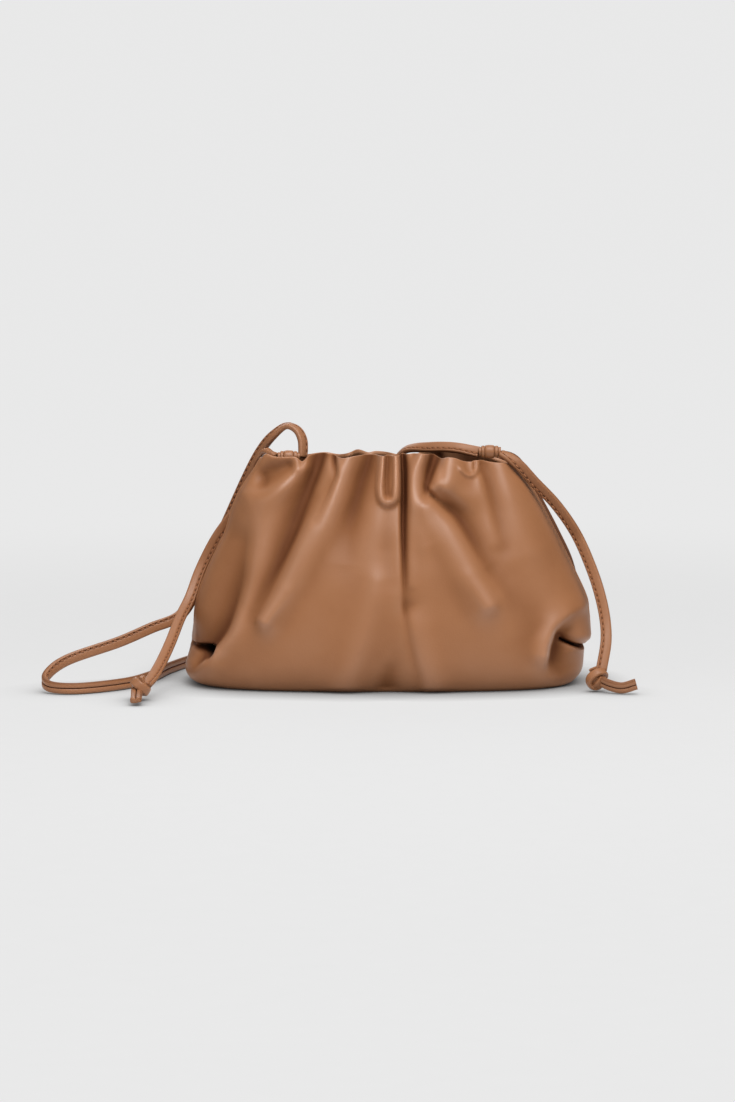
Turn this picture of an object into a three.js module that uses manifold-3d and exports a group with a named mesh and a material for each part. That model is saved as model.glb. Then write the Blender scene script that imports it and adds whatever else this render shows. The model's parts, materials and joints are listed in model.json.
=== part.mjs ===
// A soft leather pouch, gathered at its open mouth, with a flat strap knotted at both top corners.
// Millimetres, +Z up, the front of the pouch faces -Y, and its flat base lies on Z = 0.
import * as THREE from "three";
import { mergeVertices } from "three/addons/utils/BufferGeometryUtils.js";
import Module from "manifold-3d";

// Driving dimensions
const WALL = 2.2; // thickness of the leather shell
const RIM_ROLL = 1.0; // rise of the rolled hem over the edge of the leather
const FRONT_COLUMNS = 63; // facets round the front half of the pouch
const BACK_COLUMNS = 28; // facets round the back half
const ROWS = 23; // bands from the base to the rim, the same outside and inside
const STRAP_WIDTH = 6.3;
const STRAP_THICKNESS = 3.0;
const STRAP_EDGE = 0.45; // half-height of the strap's edge, as a share of half its thickness
const STRAP_FLAT = 0.74; // half-width of the strap's flat, as a share of half its width
const TIE_RADIUS = 3.9; // barrel knots at the corners of the mouth
const TIE_LENGTH = 9.6;
const TIE_SIDES = 12;
const KNOT_HALF = { x: 5.6, y: 5.0, z: 5.0 }; // heart of an end knot
const KNOT_SIDES = { round: 10, high: 7 };
const KNOT_BAND = { ring: 4.2, radius: 1.7, sides: 6, steps: 10 }; // bands wrapped round the heart
const KNOT_LEANS = [0.75, -0.75]; // how the two bands lean, in radians
const FOLD_FLOOR = 4; // height over the base within which folds flatten out
const FLANK_LEAST = 4.5; // narrowest flank on these facets; a finer fold is widened and made shallower
const SPINE_PARTS = 4; // straight parts between two points of a fold's spine
const SEAM_BLEND = 0.3; // how far a fold runs on past a side seam, as a share of the depth
const VIEW_SHARE = 0.5; // how far folds move straight out of the front and back, not round the pouch
const DIP_REACH = 22; // height below the rim over which a dip fades
const CUSP_SOFT = 0.1; // rounding at the very crest of a sharp fold
const ROUND_SAMPLES = 360; // fine angles round half a section, for spacing its columns
const SECTION_SAMPLES = 20; // fine places between two sections, for spacing the rows
const LEATHER = { color: 0xa26f4c, roughness: 0.5, metalness: 0 };

// Level sections of the pouch before it is folded, from the base to the rim
const SECTIONS = [
  { height: 0, halfWidth: 104, halfDepth: 44, squareness: 2.9, shift: -2.4 },
  { height: 2.4, halfWidth: 109.5, halfDepth: 48.5, squareness: 2.9, shift: -3 },
  { height: 8, halfWidth: 113.4, halfDepth: 52.5, squareness: 2.9, shift: -2.8 },
  { height: 18, halfWidth: 113.6, halfDepth: 55, squareness: 2.8, shift: -1.5 },
  { height: 34, halfWidth: 113.8, halfDepth: 55.5, squareness: 2.6, shift: 0.6 },
  { height: 52, halfWidth: 109.6, halfDepth: 54, squareness: 2.3, shift: 0.8 },
  { height: 70, halfWidth: 102, halfDepth: 50, squareness: 2.1, shift: 0.4 },
  { height: 87, halfWidth: 93.6, halfDepth: 43.5, squareness: 2, shift: 0 },
  { height: 102, halfWidth: 86.8, halfDepth: 35, squareness: 2, shift: -1.1 },
  { height: 116, halfWidth: 78.8, halfDepth: 26, squareness: 2.1, shift: -1.7 },
  { height: 128, halfWidth: 71, halfDepth: 17.5, squareness: 2.2, shift: -2 },
];
const TOP = SECTIONS.length - 1;

// Folds, as strokes on the view from the front. A spine runs through points (x, z). The flanks to its left
// and right, as seen with the page turned so that the spine runs down, and the height over the leather go
// from its start to its end. A height below zero is a valley. A cusp sharpens the crest and, below zero,
// rounds it.
const FRONT_FOLDS = [
  { name: "corner dimple", spine: [[-58, 122.6], [-65, 120], [-71, 116.5]],
    left: [5, 6], right: [5.5, 6], high: [-6, -7], cusp: 0 },
  { name: "notch ridge", spine: [[-50, 124], [-55, 119], [-62, 113], [-70, 109.5], [-78, 107.5]],
    left: [3, 4], right: [6, 9], high: [4.5, 2.5], cusp: 0 },
  { name: "first ridge", spine: [[-52, 122], [-60, 106], [-70, 90], [-77, 73]],
    left: [9, 14], right: [6, 9], high: [3, 1.5], cusp: -0.3 },
  { name: "left valley", spine: [[-38.5, 127], [-49, 106], [-58.7, 82], [-64.4, 68], [-73.5, 46]],
    left: [11, 13], right: [5, 6], high: [-14, -4], cusp: 0 },
  { name: "panel ridge", spine: [[-35, 129], [-37, 121], [-41, 112]],
    left: [3.5, 4], right: [3.5, 4], high: [2.5, 1], cusp: -0.4 },
  { name: "step valley", spine: [[-31.6, 130], [-30.4, 120.4], [-33.6, 113], [-36.6, 107], [-41, 97.5]],
    left: [2.2, 5], right: [1, 3], high: [-6.5, -1.5], cusp: 0.4 },
  { name: "long ridge", spine: [[-22, 129], [-26.6, 121], [-31.3, 110], [-40, 95], [-47.6, 81.5], [-55, 68],
    [-64.5, 52], [-70, 42.5]],
    left: [5, 7], right: [9, 10], high: [7, 4], cusp: -0.5 },
  { name: "middle valley", spine: [[-11.5, 129.5], [-14, 121], [-18, 110.5], [-23.5, 88], [-25, 72]],
    left: [7, 9], right: [5, 8], high: [-11, -2], cusp: 0 },
  { name: "centre pleat", spine: [[0, 129], [-0.4, 105], [-1, 80]],
    left: [7, 8], right: [7, 7], high: [5, 0.5], cusp: 0 },
  { name: "centre crease", spine: [[7.2, 129], [8, 112], [7.6, 90], [8.6, 48]],
    left: [1.1, 1.5], right: [3.6, 7], high: [-12, -1.4], cusp: 0.7 },
  { name: "lower crease", spine: [[8.6, 48], [11.4, 28.5], [17.7, 2.5]],
    left: [1.6, 3], right: [8, 10], high: [-1.8, -1], cusp: 0.5 },
  { name: "hook ridge", spine: [[18.2, 128], [14.6, 120.5], [13.4, 110.5], [16, 98], [20, 84.5]],
    left: [2.8, 6], right: [4.5, 8], high: [6, 1.5], cusp: -0.3 },
  { name: "pocket", spine: [[27, 129], [24.8, 122], [22.4, 115], [20.6, 108.5]],
    left: [4.5, 3.5], right: [3, 2.2], high: [-12, -4], cusp: 0.3 },
  { name: "flap", spine: [[31, 128.5], [27.8, 121], [24, 113.4]],
    left: [2, 2], right: [13, 12], high: [5, 5.5], cusp: 0 },
  { name: "flap swell", spine: [[34, 114], [46, 110]],
    left: [8, 8], right: [9, 9], high: [3, 2.5], cusp: 0 },
  { name: "beak edge", spine: [[23.8, 112.6], [29, 108.6], [36.5, 105], [43, 101]],
    left: [1.6, 5], right: [6, 6], high: [3, 0.5], cusp: 0 },
  { name: "beak valley", spine: [[25, 108.5], [32, 103], [40.5, 95.5], [48.5, 82.5], [54.7, 71]],
    left: [3, 7], right: [6, 9], high: [-9.5, -2.5], cusp: 0.2 },
  { name: "diagonal ridge", spine: [[22.5, 107], [28.4, 99.5], [37, 84.5], [45.5, 68], [55, 52]],
    left: [9, 11], right: [5, 9], high: [4, 4.5], cusp: -0.4 },
  { name: "narrow ridge", spine: [[51, 118.5], [55, 103.5], [60, 84.5]],
    left: [3, 5], right: [2.5, 4], high: [2, 1], cusp: 0 },
  { name: "right valley", spine: [[53.4, 126], [56.6, 111.5], [60.4, 95.5], [63.6, 80]],
    left: [4.5, 6], right: [4.5, 6], high: [-3.2, -1.5], cusp: 0 },
  { name: "right panel", spine: [[64, 126], [71, 105], [80.5, 80]],
    left: [7, 10], right: [9, 12], high: [4, 2.5], cusp: 0 },
  { name: "left dent", spine: [[-83, 80], [-84.8, 65], [-88.8, 48.5], [-93.8, 33.5], [-103.5, 20.8]],
    left: [16, 18], right: [7, 2.4], high: [-5, -9], cusp: 0 },
  { name: "left lap", spine: [[-80, 80], [-82, 65], [-85.8, 48.5], [-91, 33.5], [-100.6, 20]],
    left: [3, 2.4], right: [12, 12], high: [1, 3], cusp: 0 },
  { name: "left notch", spine: [[-114, 21.8], [-107, 22.4], [-102.5, 22.2]],
    left: [1.4, 3.6], right: [1.2, 1.4], high: [-6, -16], cusp: 0 },
  { name: "left pad", spine: [[-110, 13], [-101, 12]],
    left: [6, 6], right: [5, 5], high: [2, 1.5], cusp: 0 },
  { name: "right arc", spine: [[88, 21], [89.7, 30], [93.6, 37.5], [99.8, 43.5], [108, 46]],
    left: [4, 4.5], right: [7, 8], high: [3.6, 2.4], cusp: 0 },
  { name: "right brow", spine: [[99, 33], [105.5, 29], [113.5, 26.3]],
    left: [2, 2], right: [6, 5], high: [2, 3], cusp: 0 },
  { name: "right notch", spine: [[98.6, 28.8], [105.6, 24.8], [113, 21.4]],
    left: [1.6, 1.2], right: [1, 0.9], high: [-9, -11], cusp: 0 },
  { name: "right hollow", spine: [[97, 30], [94, 21], [96.5, 12]],
    left: [5, 6], right: [9, 9], high: [-6, -2.5], cusp: 0 },
  { name: "base dent", spine: [[-2, 1], [0, 12]],
    left: [8, 5], right: [8, 5], high: [-2.5, -1], cusp: 0 },
  { name: "left foot", spine: [[-5, 62], [-16, 35], [-28, 3]],
    left: [10, 12], right: [12, 12], high: [2, 3], cusp: 0 },
  { name: "right foot", spine: [[15, 34], [24, 2]],
    left: [8, 8], right: [12, 12], high: [2, 3], cusp: 0 },
];

// Folds of the hidden back: pleats that fan out from the mouth, and the creases of the base corners
const BACK_FOLDS = [
  { name: "first valley", spine: [[-47, 128], [-63, 62]],
    left: [4.5, 8], right: [4.5, 8], high: [-6, -2], cusp: 0 },
  { name: "first ridge", spine: [[-35, 128], [-45, 48]],
    left: [5.5, 9], right: [5.5, 9], high: [4, 2], cusp: 0 },
  { name: "second valley", spine: [[-23, 128], [-27, 66]],
    left: [4.5, 7], right: [4.5, 7], high: [-6, -2], cusp: 0 },
  { name: "second ridge", spine: [[-10, 128], [-11, 44]],
    left: [5.5, 9], right: [5.5, 9], high: [4, 2], cusp: 0 },
  { name: "third valley", spine: [[3, 128], [6, 58]],
    left: [4.5, 7], right: [4.5, 7], high: [-6, -2], cusp: 0 },
  { name: "third ridge", spine: [[17, 128], [23, 46]],
    left: [5.5, 9], right: [5.5, 9], high: [4, 2], cusp: 0 },
  { name: "fourth valley", spine: [[30, 128], [41, 64]],
    left: [4.5, 8], right: [4.5, 8], high: [-6, -2], cusp: 0 },
  { name: "fourth ridge", spine: [[43, 128], [57, 52]],
    left: [5.5, 9], right: [5.5, 9], high: [4, 2], cusp: 0 },
  { name: "right notch", spine: [[98, 28], [114, 25]],
    left: [5, 5], right: [2.5, 2.5], high: [-3, -2], cusp: 0 },
  { name: "left dent", spine: [[-97, 34], [-88, 70]],
    left: [8, 7], right: [8, 7], high: [-5, -2], cusp: 0 },
  { name: "right dent", spine: [[98, 38], [90, 72]],
    left: [8, 7], right: [8, 7], high: [-5, -2], cusp: 0 },
];

// Dips of the rim between the gathers, or rises where deep is below zero
const FRONT_DIPS = [
  { name: "front edge", x: 0, wide: 52, deep: -2.6 },
  { name: "left curl", x: -70, wide: 3.2, deep: -1.6 },
  { name: "left notch", x: -49.6, wide: 2.3, deep: 2.8 },
  { name: "left panel", x: -38, wide: 7, deep: -1.2 },
  { name: "step", x: -26.5, wide: 4.2, deep: 1 },
  { name: "hook rise", x: 17, wide: 7, deep: -1.4 },
  { name: "beak dip", x: 29, wide: 2.6, deep: 1.6 },
  { name: "flap fall", x: 44, wide: 6, deep: 2.6 },
  { name: "tie seat", x: 57, wide: 7, deep: 2.2 },
  { name: "right corner", x: 69, wide: 9, deep: 3.2 },
];
const BACK_DIPS = [
  { name: "back edge", x: -8, wide: 45, deep: -1.6 },
  { name: "right seat", x: 69, wide: 9, deep: 3.2 },
  { name: "strap seat", x: 11, wide: 6.5, deep: 3.2 },
  { name: "back swell", x: 36, wide: 15, deep: -3.4 },
  { name: "left seat", x: -71, wide: 6, deep: 2 },
];

// Routes of the strap: the middle of the strap and the direction across its flat
const STRAP_ROUTE = [
  { x: -49.2, y: -2.2, z: 128.2, across: [0.6, 0.9, 0.2] },
  { x: -48.9, y: -1.2, z: 132.2, across: [0.7, 0.8, 0.1] },
  { x: -49.4, y: 0.7, z: 138.5, across: [0.7, 0.8, 0.1] },
  { x: -52.4, y: 3.0, z: 143.6, across: [0.45, 0.9, 0.2] },
  { x: -58.0, y: 5.3, z: 145.6, across: [0, 1, 0.15] },
  { x: -66.0, y: 9.5, z: 140.0, across: [-0.4, 0.9, 0.35] },
  { x: -74.6, y: 17.0, z: 128.5, across: [-0.65, 0.7, 0.4] },
  { x: -92.5, y: 23.0, z: 90.0, across: [-1, 0.4, 0.5] },
  { x: -102.5, y: 20.0, z: 67.0, across: [-1, 0.3, 0.4] },
  { x: -111.5, y: 15.0, z: 48.0, across: [-0.8, 0.3, 0.6] },
  { x: -120.0, y: 4.5, z: 36.5, across: [-0.5, 0.2, 0.9] },
  { x: -135.5, y: -5.5, z: 31.0, across: [-0.25, 0.1, 1] },
  { x: -152.3, y: -13.5, z: 24.5, across: [-0.2, 0.1, 1] },
  { x: -182.8, y: -30.0, z: 15.5, across: [-0.1, 0.1, 1] },
  { x: -190.9, y: -38.5, z: 10.6, across: [0, 0.1, 1] },
  { x: -193.6, y: -45.5, z: 6.4, across: [0, 0.05, 1] },
  { x: -190.4, y: -51.5, z: 4.2, across: [0, 0, 1] },
  { x: -178.0, y: -55.0, z: 3.4, across: [0, 0.1, 1] },
  { x: -150.0, y: -36.0, z: 3.4, across: [-0.1, 0.1, 1] },
  { x: -135.5, y: -6.5, z: 3.4, across: [-0.1, 0, 1] },
  { x: -125.5, y: 32.0, z: 3.4, across: [-0.1, 0, 1] },
  { x: -105.0, y: 75.0, z: 3.4, across: [-0.1, 0.1, 1] },
  { x: -55.0, y: 97.0, z: 3.4, across: [0, 0.1, 1] },
  { x: 14.0, y: 98.0, z: 3.4, across: [0, 1, 0.2] },
  { x: 72.0, y: 82.0, z: 4.5, across: [-0.1, 0.4, -1] },
  { x: 102.0, y: 58.0, z: 16.0, across: [-0.4, -0.3, -0.9] },
  { x: 107.0, y: 39.0, z: 42.0, across: [-1, -0.4, -0.5] },
  { x: 103.5, y: 24.5, z: 64.0, across: [-1, -0.4, -0.4] },
  { x: 94.5, y: 17.5, z: 84.0, across: [-1, -0.3, -0.5] },
  { x: 83.0, y: 11.5, z: 106.0, across: [-1, -0.4, -0.6] },
  { x: 76.0, y: 9.0, z: 120.0, across: [-1, -0.5, -0.5] },
  { x: 71.0, y: 11.0, z: 126.2, across: [-0.5, -0.8, -0.6] },
  { x: 64.0, y: 14.0, z: 127.6, across: [-0.1, -0.4, -1] },
  { x: 46.0, y: 24.4, z: 124.2, across: [0, 0, -1] },
  { x: 14.0, y: 29.8, z: 120.8, across: [0, 0.1, -1] },
  { x: 5.2, y: 27.0, z: 121.8, across: [0.3, -0.4, -1] },
  { x: 9.2, y: 18.7, z: 130.4, across: [-0.3, -0.9, -0.4] },
  { x: 24.0, y: 5.5, z: 133.4, across: [0, -0.9, -1] },
  { x: 37.0, y: -1.8, z: 133.8, across: [0, -0.8, -1] },
  { x: 50.8, y: -7.0, z: 131.7, across: [-0.1, -0.4, -1] },
];
const LEFT_TAIL_ROUTE = [
  { x: -63.9, y: -1.8, z: 129.0, across: [0, -1, -0.2] },
  { x: -67.0, y: 0.2, z: 130.3, across: [0, -1, 0] },
  { x: -71.0, y: 6.0, z: 131.0, across: [-0.2, -1, 0] },
  { x: -74.8, y: 9.6, z: 125.5, across: [-0.8, -1, 0.1] },
  { x: -78.6, y: 12.8, z: 113.5, across: [-1, -0.9, 0.5] },
  { x: -86.5, y: 15.6, z: 98.0, across: [-1, -0.4, 0.5] },
  { x: -98.8, y: 13.5, z: 80.5, across: [-1, 0, 0.4] },
  { x: -107.8, y: 9.0, z: 63.0, across: [-1, 0.2, 0.4] },
  { x: -113.5, y: 0.5, z: 48.0, across: [-1, 0.1, 0.5] },
  { x: -118.6, y: -12.0, z: 38.0, across: [-1, 0, 0.4] },
  { x: -123.5, y: -30.0, z: 26.0, across: [-1, 0, 0.4] },
  { x: -128.0, y: -48.0, z: 17.0, across: [-1, 0, 0.3] },
  { x: -132.3, y: -63.0, z: 10.5, across: [-1, 0.1, 0.2] },
  { x: -135.2, y: -70.2, z: 7.7, across: [-1, 0.2, 0.1] },
];
const RIGHT_TAIL_ROUTE = [
  { x: 63.0, y: -7.6, z: 131.2, across: [0, 1, 0.3] },
  { x: 67.5, y: -8.6, z: 129.0, across: [0.3, 0.8, 0.6] },
  { x: 74.0, y: -9.0, z: 124.0, across: [0.6, 0.2, 0.7] },
  { x: 82.0, y: -9.2, z: 115.2, across: [0.8, -0.3, 0.7] },
  { x: 94.3, y: -9.8, z: 102.3, across: [1, -0.5, 0.7] },
  { x: 105.7, y: -12.0, z: 86.0, across: [1, -0.5, 0.6] },
  { x: 114.6, y: -17.0, z: 66.2, across: [1, -0.4, 0.4] },
  { x: 119.4, y: -23.0, z: 51.0, across: [1, -0.3, 0.2] },
  { x: 121.8, y: -29.0, z: 38.0, across: [1, -0.2, 0.1] },
  { x: 122.0, y: -34.5, z: 27.0, across: [1, 0, 0] },
  { x: 119.1, y: -41.4, z: 11.9, across: [1, 0, -0.1] },
];

// Barrel knots at the corners of the mouth: one broad wrap between two narrow collars
const TIE_KNOTS = [
  { name: "left_tie_knot", x: -57.0, y: -2.4, z: 128.6 },
  { name: "right_tie_knot", x: 57.0, y: -6.8, z: 132.0 },
];
const TIE_PROFILE = [
  { along: -0.5, radius: 0.62 },
  { along: -0.44, radius: 0.82 },
  { along: -0.36, radius: 0.82 },
  { along: -0.31, radius: 0.68 },
  { along: -0.26, radius: 1 },
  { along: 0.24, radius: 1 },
  { along: 0.29, radius: 0.68 },
  { along: 0.35, radius: 0.8 },
  { along: 0.44, radius: 0.8 },
  { along: 0.5, radius: 0.62 },
];

// Short tips of the strap past the end knots
const LEFT_TIP_ROUTE = [
  { x: -140.0, y: -79.0, z: 5.8, across: [1, 0, 0.1] },
  { x: -139.6, y: -88.0, z: 4.2, across: [1, 0, 0.2] },
  { x: -139.4, y: -99.0, z: 3.4, across: [1, 0, 0.1] },
];
const RIGHT_TIP_ROUTE = [
  { x: 119.0, y: -47.2, z: 6.2, across: [0, -0.3, 1] },
  { x: 123.5, y: -51.0, z: 4.6, across: [0, -0.3, 1] },
  { x: 130.0, y: -54.0, z: 3.6, across: [0, -0.2, 1] },
  { x: 138.0, y: -54.0, z: 5.8, across: [-0.2, -0.2, 1] },
];
const END_KNOTS = [
  { name: "left_end_knot", x: -138.0, y: -76.0, z: 7.0, tip: LEFT_TIP_ROUTE },
  { name: "right_end_knot", x: 116.8, y: -43.5, z: 7.2, tip: RIGHT_TIP_ROUTE },
];

const lerp = THREE.MathUtils.lerp;

// A smooth rise from 0 to 1 between two limits.
function smooth(low, high, value) {
  return THREE.MathUtils.smoothstep(value, low, high);
}

// The section at a place along the table, with a smooth curve through its rows.
function sectionAt(place) {
  const i = Math.min(Math.floor(place), TOP - 1);
  const t = place - i;
  const rows = [-1, 0, 1, 2].map((k) => SECTIONS[THREE.MathUtils.clamp(i + k, 0, TOP)]);
  const blend = (key) => {
    const [a, b, c, d] = rows.map((row) => row[key]);
    const rise = (c - a) / 2;
    const fall = (d - b) / 2;
    return b + t * (rise + t * (3 * (c - b) - 2 * rise - fall + t * (2 * (b - c) + rise + fall)));
  };
  return Object.fromEntries(Object.keys(SECTIONS[0]).map((key) => [key, blend(key)]));
}

// Straight parts along a fold's spine, each with the share of the whole length gone before it.
function spineParts({ spine }) {
  const points = spine.map(([x, z]) => new THREE.Vector2(x, z));
  const curve = new THREE.SplineCurve(points);
  const line = points.length > 2 ? curve.getPoints((points.length - 1) * SPINE_PARTS) : points;
  const parts = line.slice(1).map((end, k) => {
    const ahead = end.clone().sub(line[k]);
    return { start: line[k], ahead: ahead.clone().normalize(), length: ahead.length() };
  });
  const whole = parts.reduce((sum, part) => sum + part.length, 0);
  let gone = 0;
  return parts.map((part) => {
    gone += part.length;
    return { ...part, before: (gone - part.length) / whole, whole };
  });
}

const FRONT = FRONT_FOLDS.map((fold) => ({ ...fold, parts: spineParts(fold) }));
const BACK = BACK_FOLDS.map((fold) => ({ ...fold, parts: spineParts(fold) }));

// Height of one fold over the leather at a point of the view from the front.
function foldHeight({ parts, left, right, high, cusp }, x, z) {
  let near = { away: Infinity };
  for (const { start, ahead, length, before, whole } of parts) {
    const along = (x - start.x) * ahead.x + (z - start.y) * ahead.y;
    const held = THREE.MathUtils.clamp(along, 0, length);
    const side = (z - start.y) * ahead.x - (x - start.x) * ahead.y;
    const past = along - held;
    const away = side ** 2 + past ** 2;
    if (away < near.away) near = { away, side, past, share: before + held / whole };
  }
  const drawn = [left, right].map(([from, to]) => lerp(from, to, near.share));
  const flanks = drawn.map((flank) => Math.max(FLANK_LEAST, flank));
  const kept = Math.min(1, (drawn[0] + drawn[1]) / (2 * FLANK_LEAST));
  const reach = Math.abs(near.side) / flanks[near.side < 0 ? 0 : 1];
  const crest = cusp > 0 ? Math.hypot(reach, CUSP_SOFT) - CUSP_SOFT : reach ** 4;
  const fall = lerp(reach ** 2, crest, Math.abs(cusp)) + ((2 * near.past) / (flanks[0] + flanks[1])) ** 2;
  return kept * lerp(high[0], high[1], near.share) * Math.exp(-fall);
}

// A point of the unfolded shell with the level direction outward and its depth, from -1 in front to 1 behind.
function shellPoint(place, angle) {
  const row = sectionAt(place);
  const n = row.squareness;
  const reach = (Math.abs(Math.cos(angle)) ** n + Math.abs(Math.sin(angle)) ** n) ** (1 / n);
  const across = Math.cos(angle) / reach;
  const deep = Math.sin(angle) / reach;
  const level = new THREE.Vector3(
    (Math.sign(across) * Math.abs(across) ** (n - 1)) / row.halfWidth,
    (Math.sign(deep) * Math.abs(deep) ** (n - 1)) / row.halfDepth,
    0,
  ).normalize();
  const at = new THREE.Vector3(row.shift + row.halfWidth * across, row.halfDepth * deep, row.height);
  return { at, level, deep };
}

// A point of the outside of the folded shell.
function outerPoint(place, angle) {
  const { at, level, deep } = shellPoint(place, angle);
  const front = 1 - smooth(0, SEAM_BLEND, deep);
  const back = smooth(-SEAM_BLEND, 0, deep);
  const mix = (one, other) => (front * one + back * other) / Math.max(1, front + back);
  const folds = (rows) => rows.reduce((sum, fold) => sum + foldHeight(fold, at.x, at.z), 0);
  const dip = ({ x, wide, deep }) => deep * Math.exp(-(((at.x - x) / wide) ** 2));
  const dips = (rows) => rows.reduce((sum, row) => sum + dip(row), 0);
  const facing = smooth(0, SEAM_BLEND, Math.abs(deep)) * VIEW_SHARE;
  const outward = level.lerp(new THREE.Vector3(0, Math.sign(deep), 0), facing).normalize();
  const rim = SECTIONS[TOP].height;
  const rise = mix(folds(FRONT), folds(BACK)) * smooth(0, FOLD_FLOOR, at.z);
  const point = at.clone().addScaledVector(outward, rise);
  point.z -= mix(dips(FRONT_DIPS), dips(BACK_DIPS)) * smooth(rim - DIP_REACH, rim, at.z);
  return point;
}

// The direction out of the unfolded shell, which turns down towards the floor of the pouch.
function shellNormal(place, angle) {
  const step = 1 / SECTION_SAMPLES;
  const up = shellPoint(Math.min(place + step, TOP), angle).at;
  const down = shellPoint(Math.max(place - step, 0), angle).at;
  const slope = up.sub(down).normalize();
  const { level } = shellPoint(place, angle);
  const outward = level.clone().addScaledVector(slope, -level.dot(slope)).normalize();
  return outward.lerp(new THREE.Vector3(0, 0, -1), 1 - smooth(0, 1, place)).normalize();
}

// Values at even steps along a line of points, from its start up to but not including its end.
function evenly(points, values, count) {
  const gone = [0];
  for (let k = 1; k < points.length; k++) gone.push(gone[k - 1] + points[k].distanceTo(points[k - 1]));
  let k = 1;
  return Array.from({ length: count }, (_, i) => {
    const want = (gone[gone.length - 1] * i) / count;
    while (gone[k] < want) k++;
    return lerp(values[k - 1], values[k], (want - gone[k - 1]) / (gone[k] - gone[k - 1]));
  });
}

// Angles round one section, spaced evenly round its front and round its back.
function columnAngles(place) {
  const halves = [[-Math.PI, FRONT_COLUMNS], [0, BACK_COLUMNS]];
  return halves.flatMap(([first, count]) => {
    const angles = Array.from({ length: ROUND_SAMPLES + 1 }, (_, k) => first + (Math.PI * k) / ROUND_SAMPLES);
    return evenly(angles.map((angle) => shellPoint(place, angle).at), angles, count);
  });
}

// Places up the pouch, spaced evenly along the middle of its front.
function rowPlaces() {
  const places = Array.from({ length: TOP * SECTION_SAMPLES + 1 }, (_, k) => k / SECTION_SAMPLES);
  return [...evenly(places.map((place) => shellPoint(place, -Math.PI / 2).at), places, ROWS), TOP];
}

// A closed surface through rings of equal size, with a fan over the first and the last.
function closedRings(rings, firstCentre, lastCentre) {
  const count = rings[0].length;
  const points = [...rings.flat(), firstCentre, lastCentre];
  const first = points.length - 2;
  const index = [];
  for (let k = 0; k < count; k++) {
    const next = (k + 1) % count;
    index.push(first, next, k);
    for (let r = 0; r + 1 < rings.length; r++) {
      const a = r * count + k;
      const b = r * count + next;
      index.push(a, b, b + count, a, b + count, a + count);
    }
    const end = (rings.length - 1) * count;
    index.push(first + 1, end + k, end + next);
  }
  const geometry = new THREE.BufferGeometry().setFromPoints(points);
  geometry.setIndex(index);
  geometry.computeVertexNormals();
  return geometry;
}

// The hollow shell: up the outside, over the rolled hem and down the inside to the floor.
function pouchGeometry() {
  const grid = rowPlaces().map((place) => columnAngles(place).map((angle) => ({ place, angle })));
  const outer = grid.map((row) => row.map(({ place, angle }) => outerPoint(place, angle)));
  const inner = grid.map((row, r) =>
    row.map(({ place, angle }, k) => outer[r][k].clone().addScaledVector(shellNormal(place, angle), -WALL)),
  );
  const hem = outer[ROWS].map((point, k) => point.clone().lerp(inner[ROWS][k], 0.5).setZ(point.z + RIM_ROLL));
  const middle = new THREE.Vector3(SECTIONS[0].shift, 0, 0);
  return closedRings([...outer, hem, ...inner.reverse()], middle, middle.clone().setZ(WALL));
}

// The strap's section, as eight points round it.
function strapSection() {
  const w = STRAP_WIDTH / 2;
  const t = STRAP_THICKNESS / 2;
  const quarter = [[w, t * STRAP_EDGE], [w * STRAP_FLAT, t]];
  const mirrored = quarter.map(([a, b]) => [-a, b]).reverse();
  const half = [...quarter, ...mirrored];
  return [...half, ...half.map(([a, b]) => [-a, -b])];
}

// A flat strap swept along a route, with one section at each point of it, turning as the route says.
function strapGeometry(route) {
  const spots = route.map(({ x, y, z }) => new THREE.Vector3(x, y, z));
  const middle = new THREE.CatmullRomCurve3(spots, false, "centripetal");
  const rings = route.map(({ across }, k) => {
    const ahead = middle.getTangent(k / (route.length - 1));
    const wide = new THREE.Vector3(...across);
    wide.addScaledVector(ahead, -wide.dot(ahead)).normalize();
    const thin = new THREE.Vector3().crossVectors(ahead, wide);
    return strapSection().map(([a, b]) => spots[k].clone().addScaledVector(wide, a).addScaledVector(thin, b));
  });
  return closedRings(rings, spots[0], spots[spots.length - 1]);
}

// A barrel knot, turned round the X axis.
function tieKnotGeometry() {
  const spot = (radius, along) => new THREE.Vector2(TIE_RADIUS * radius, TIE_LENGTH * along);
  const sides = TIE_PROFILE.map(({ along, radius }) => spot(radius, along));
  const profile = [spot(0, TIE_PROFILE[0].along), ...sides, spot(0, TIE_PROFILE[sides.length - 1].along)];
  return new THREE.LatheGeometry(profile, TIE_SIDES).rotateZ(Math.PI / 2);
}

const wasm = await Module();
wasm.setup();

// A geometry as a solid that can be joined to others.
function solidOf(geometry) {
  const bare = new THREE.BufferGeometry().setAttribute("position", geometry.getAttribute("position"));
  const { attributes, index } = mergeVertices(bare.setIndex(geometry.index));
  const vertProperties = attributes.position.array;
  const triVerts = new Uint32Array(index.array);
  return new wasm.Manifold(new wasm.Mesh({ numProp: 3, vertProperties, triVerts }));
}

// An overhand knot with its tip: a rounded heart, two bands wrapped round it and the end of the strap.
function endKnotGeometry({ x, y, z, tip }) {
  const { ring, radius, sides, steps } = KNOT_BAND;
  const heart = new THREE.SphereGeometry(1, KNOT_SIDES.round, KNOT_SIDES.high);
  heart.scale(KNOT_HALF.x, KNOT_HALF.y, KNOT_HALF.z);
  const bands = KNOT_LEANS.map((lean) => new THREE.TorusGeometry(ring, radius, sides, steps).rotateY(lean));
  const wrapped = [heart, ...bands].map((shape) => solidOf(shape.translate(x, y, z)));
  const joined = wasm.Manifold.union([...wrapped, solidOf(strapGeometry(tip))]);
  const { vertProperties, triVerts } = joined.getMesh();
  const geometry = new THREE.BufferGeometry();
  geometry.setAttribute("position", new THREE.BufferAttribute(vertProperties, 3));
  geometry.setIndex([...triVerts]);
  geometry.computeVertexNormals();
  return geometry;
}

const bag = new THREE.Group();
bag.name = "gathered_pouch";
const leather = new THREE.MeshStandardMaterial(LEATHER);

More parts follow.
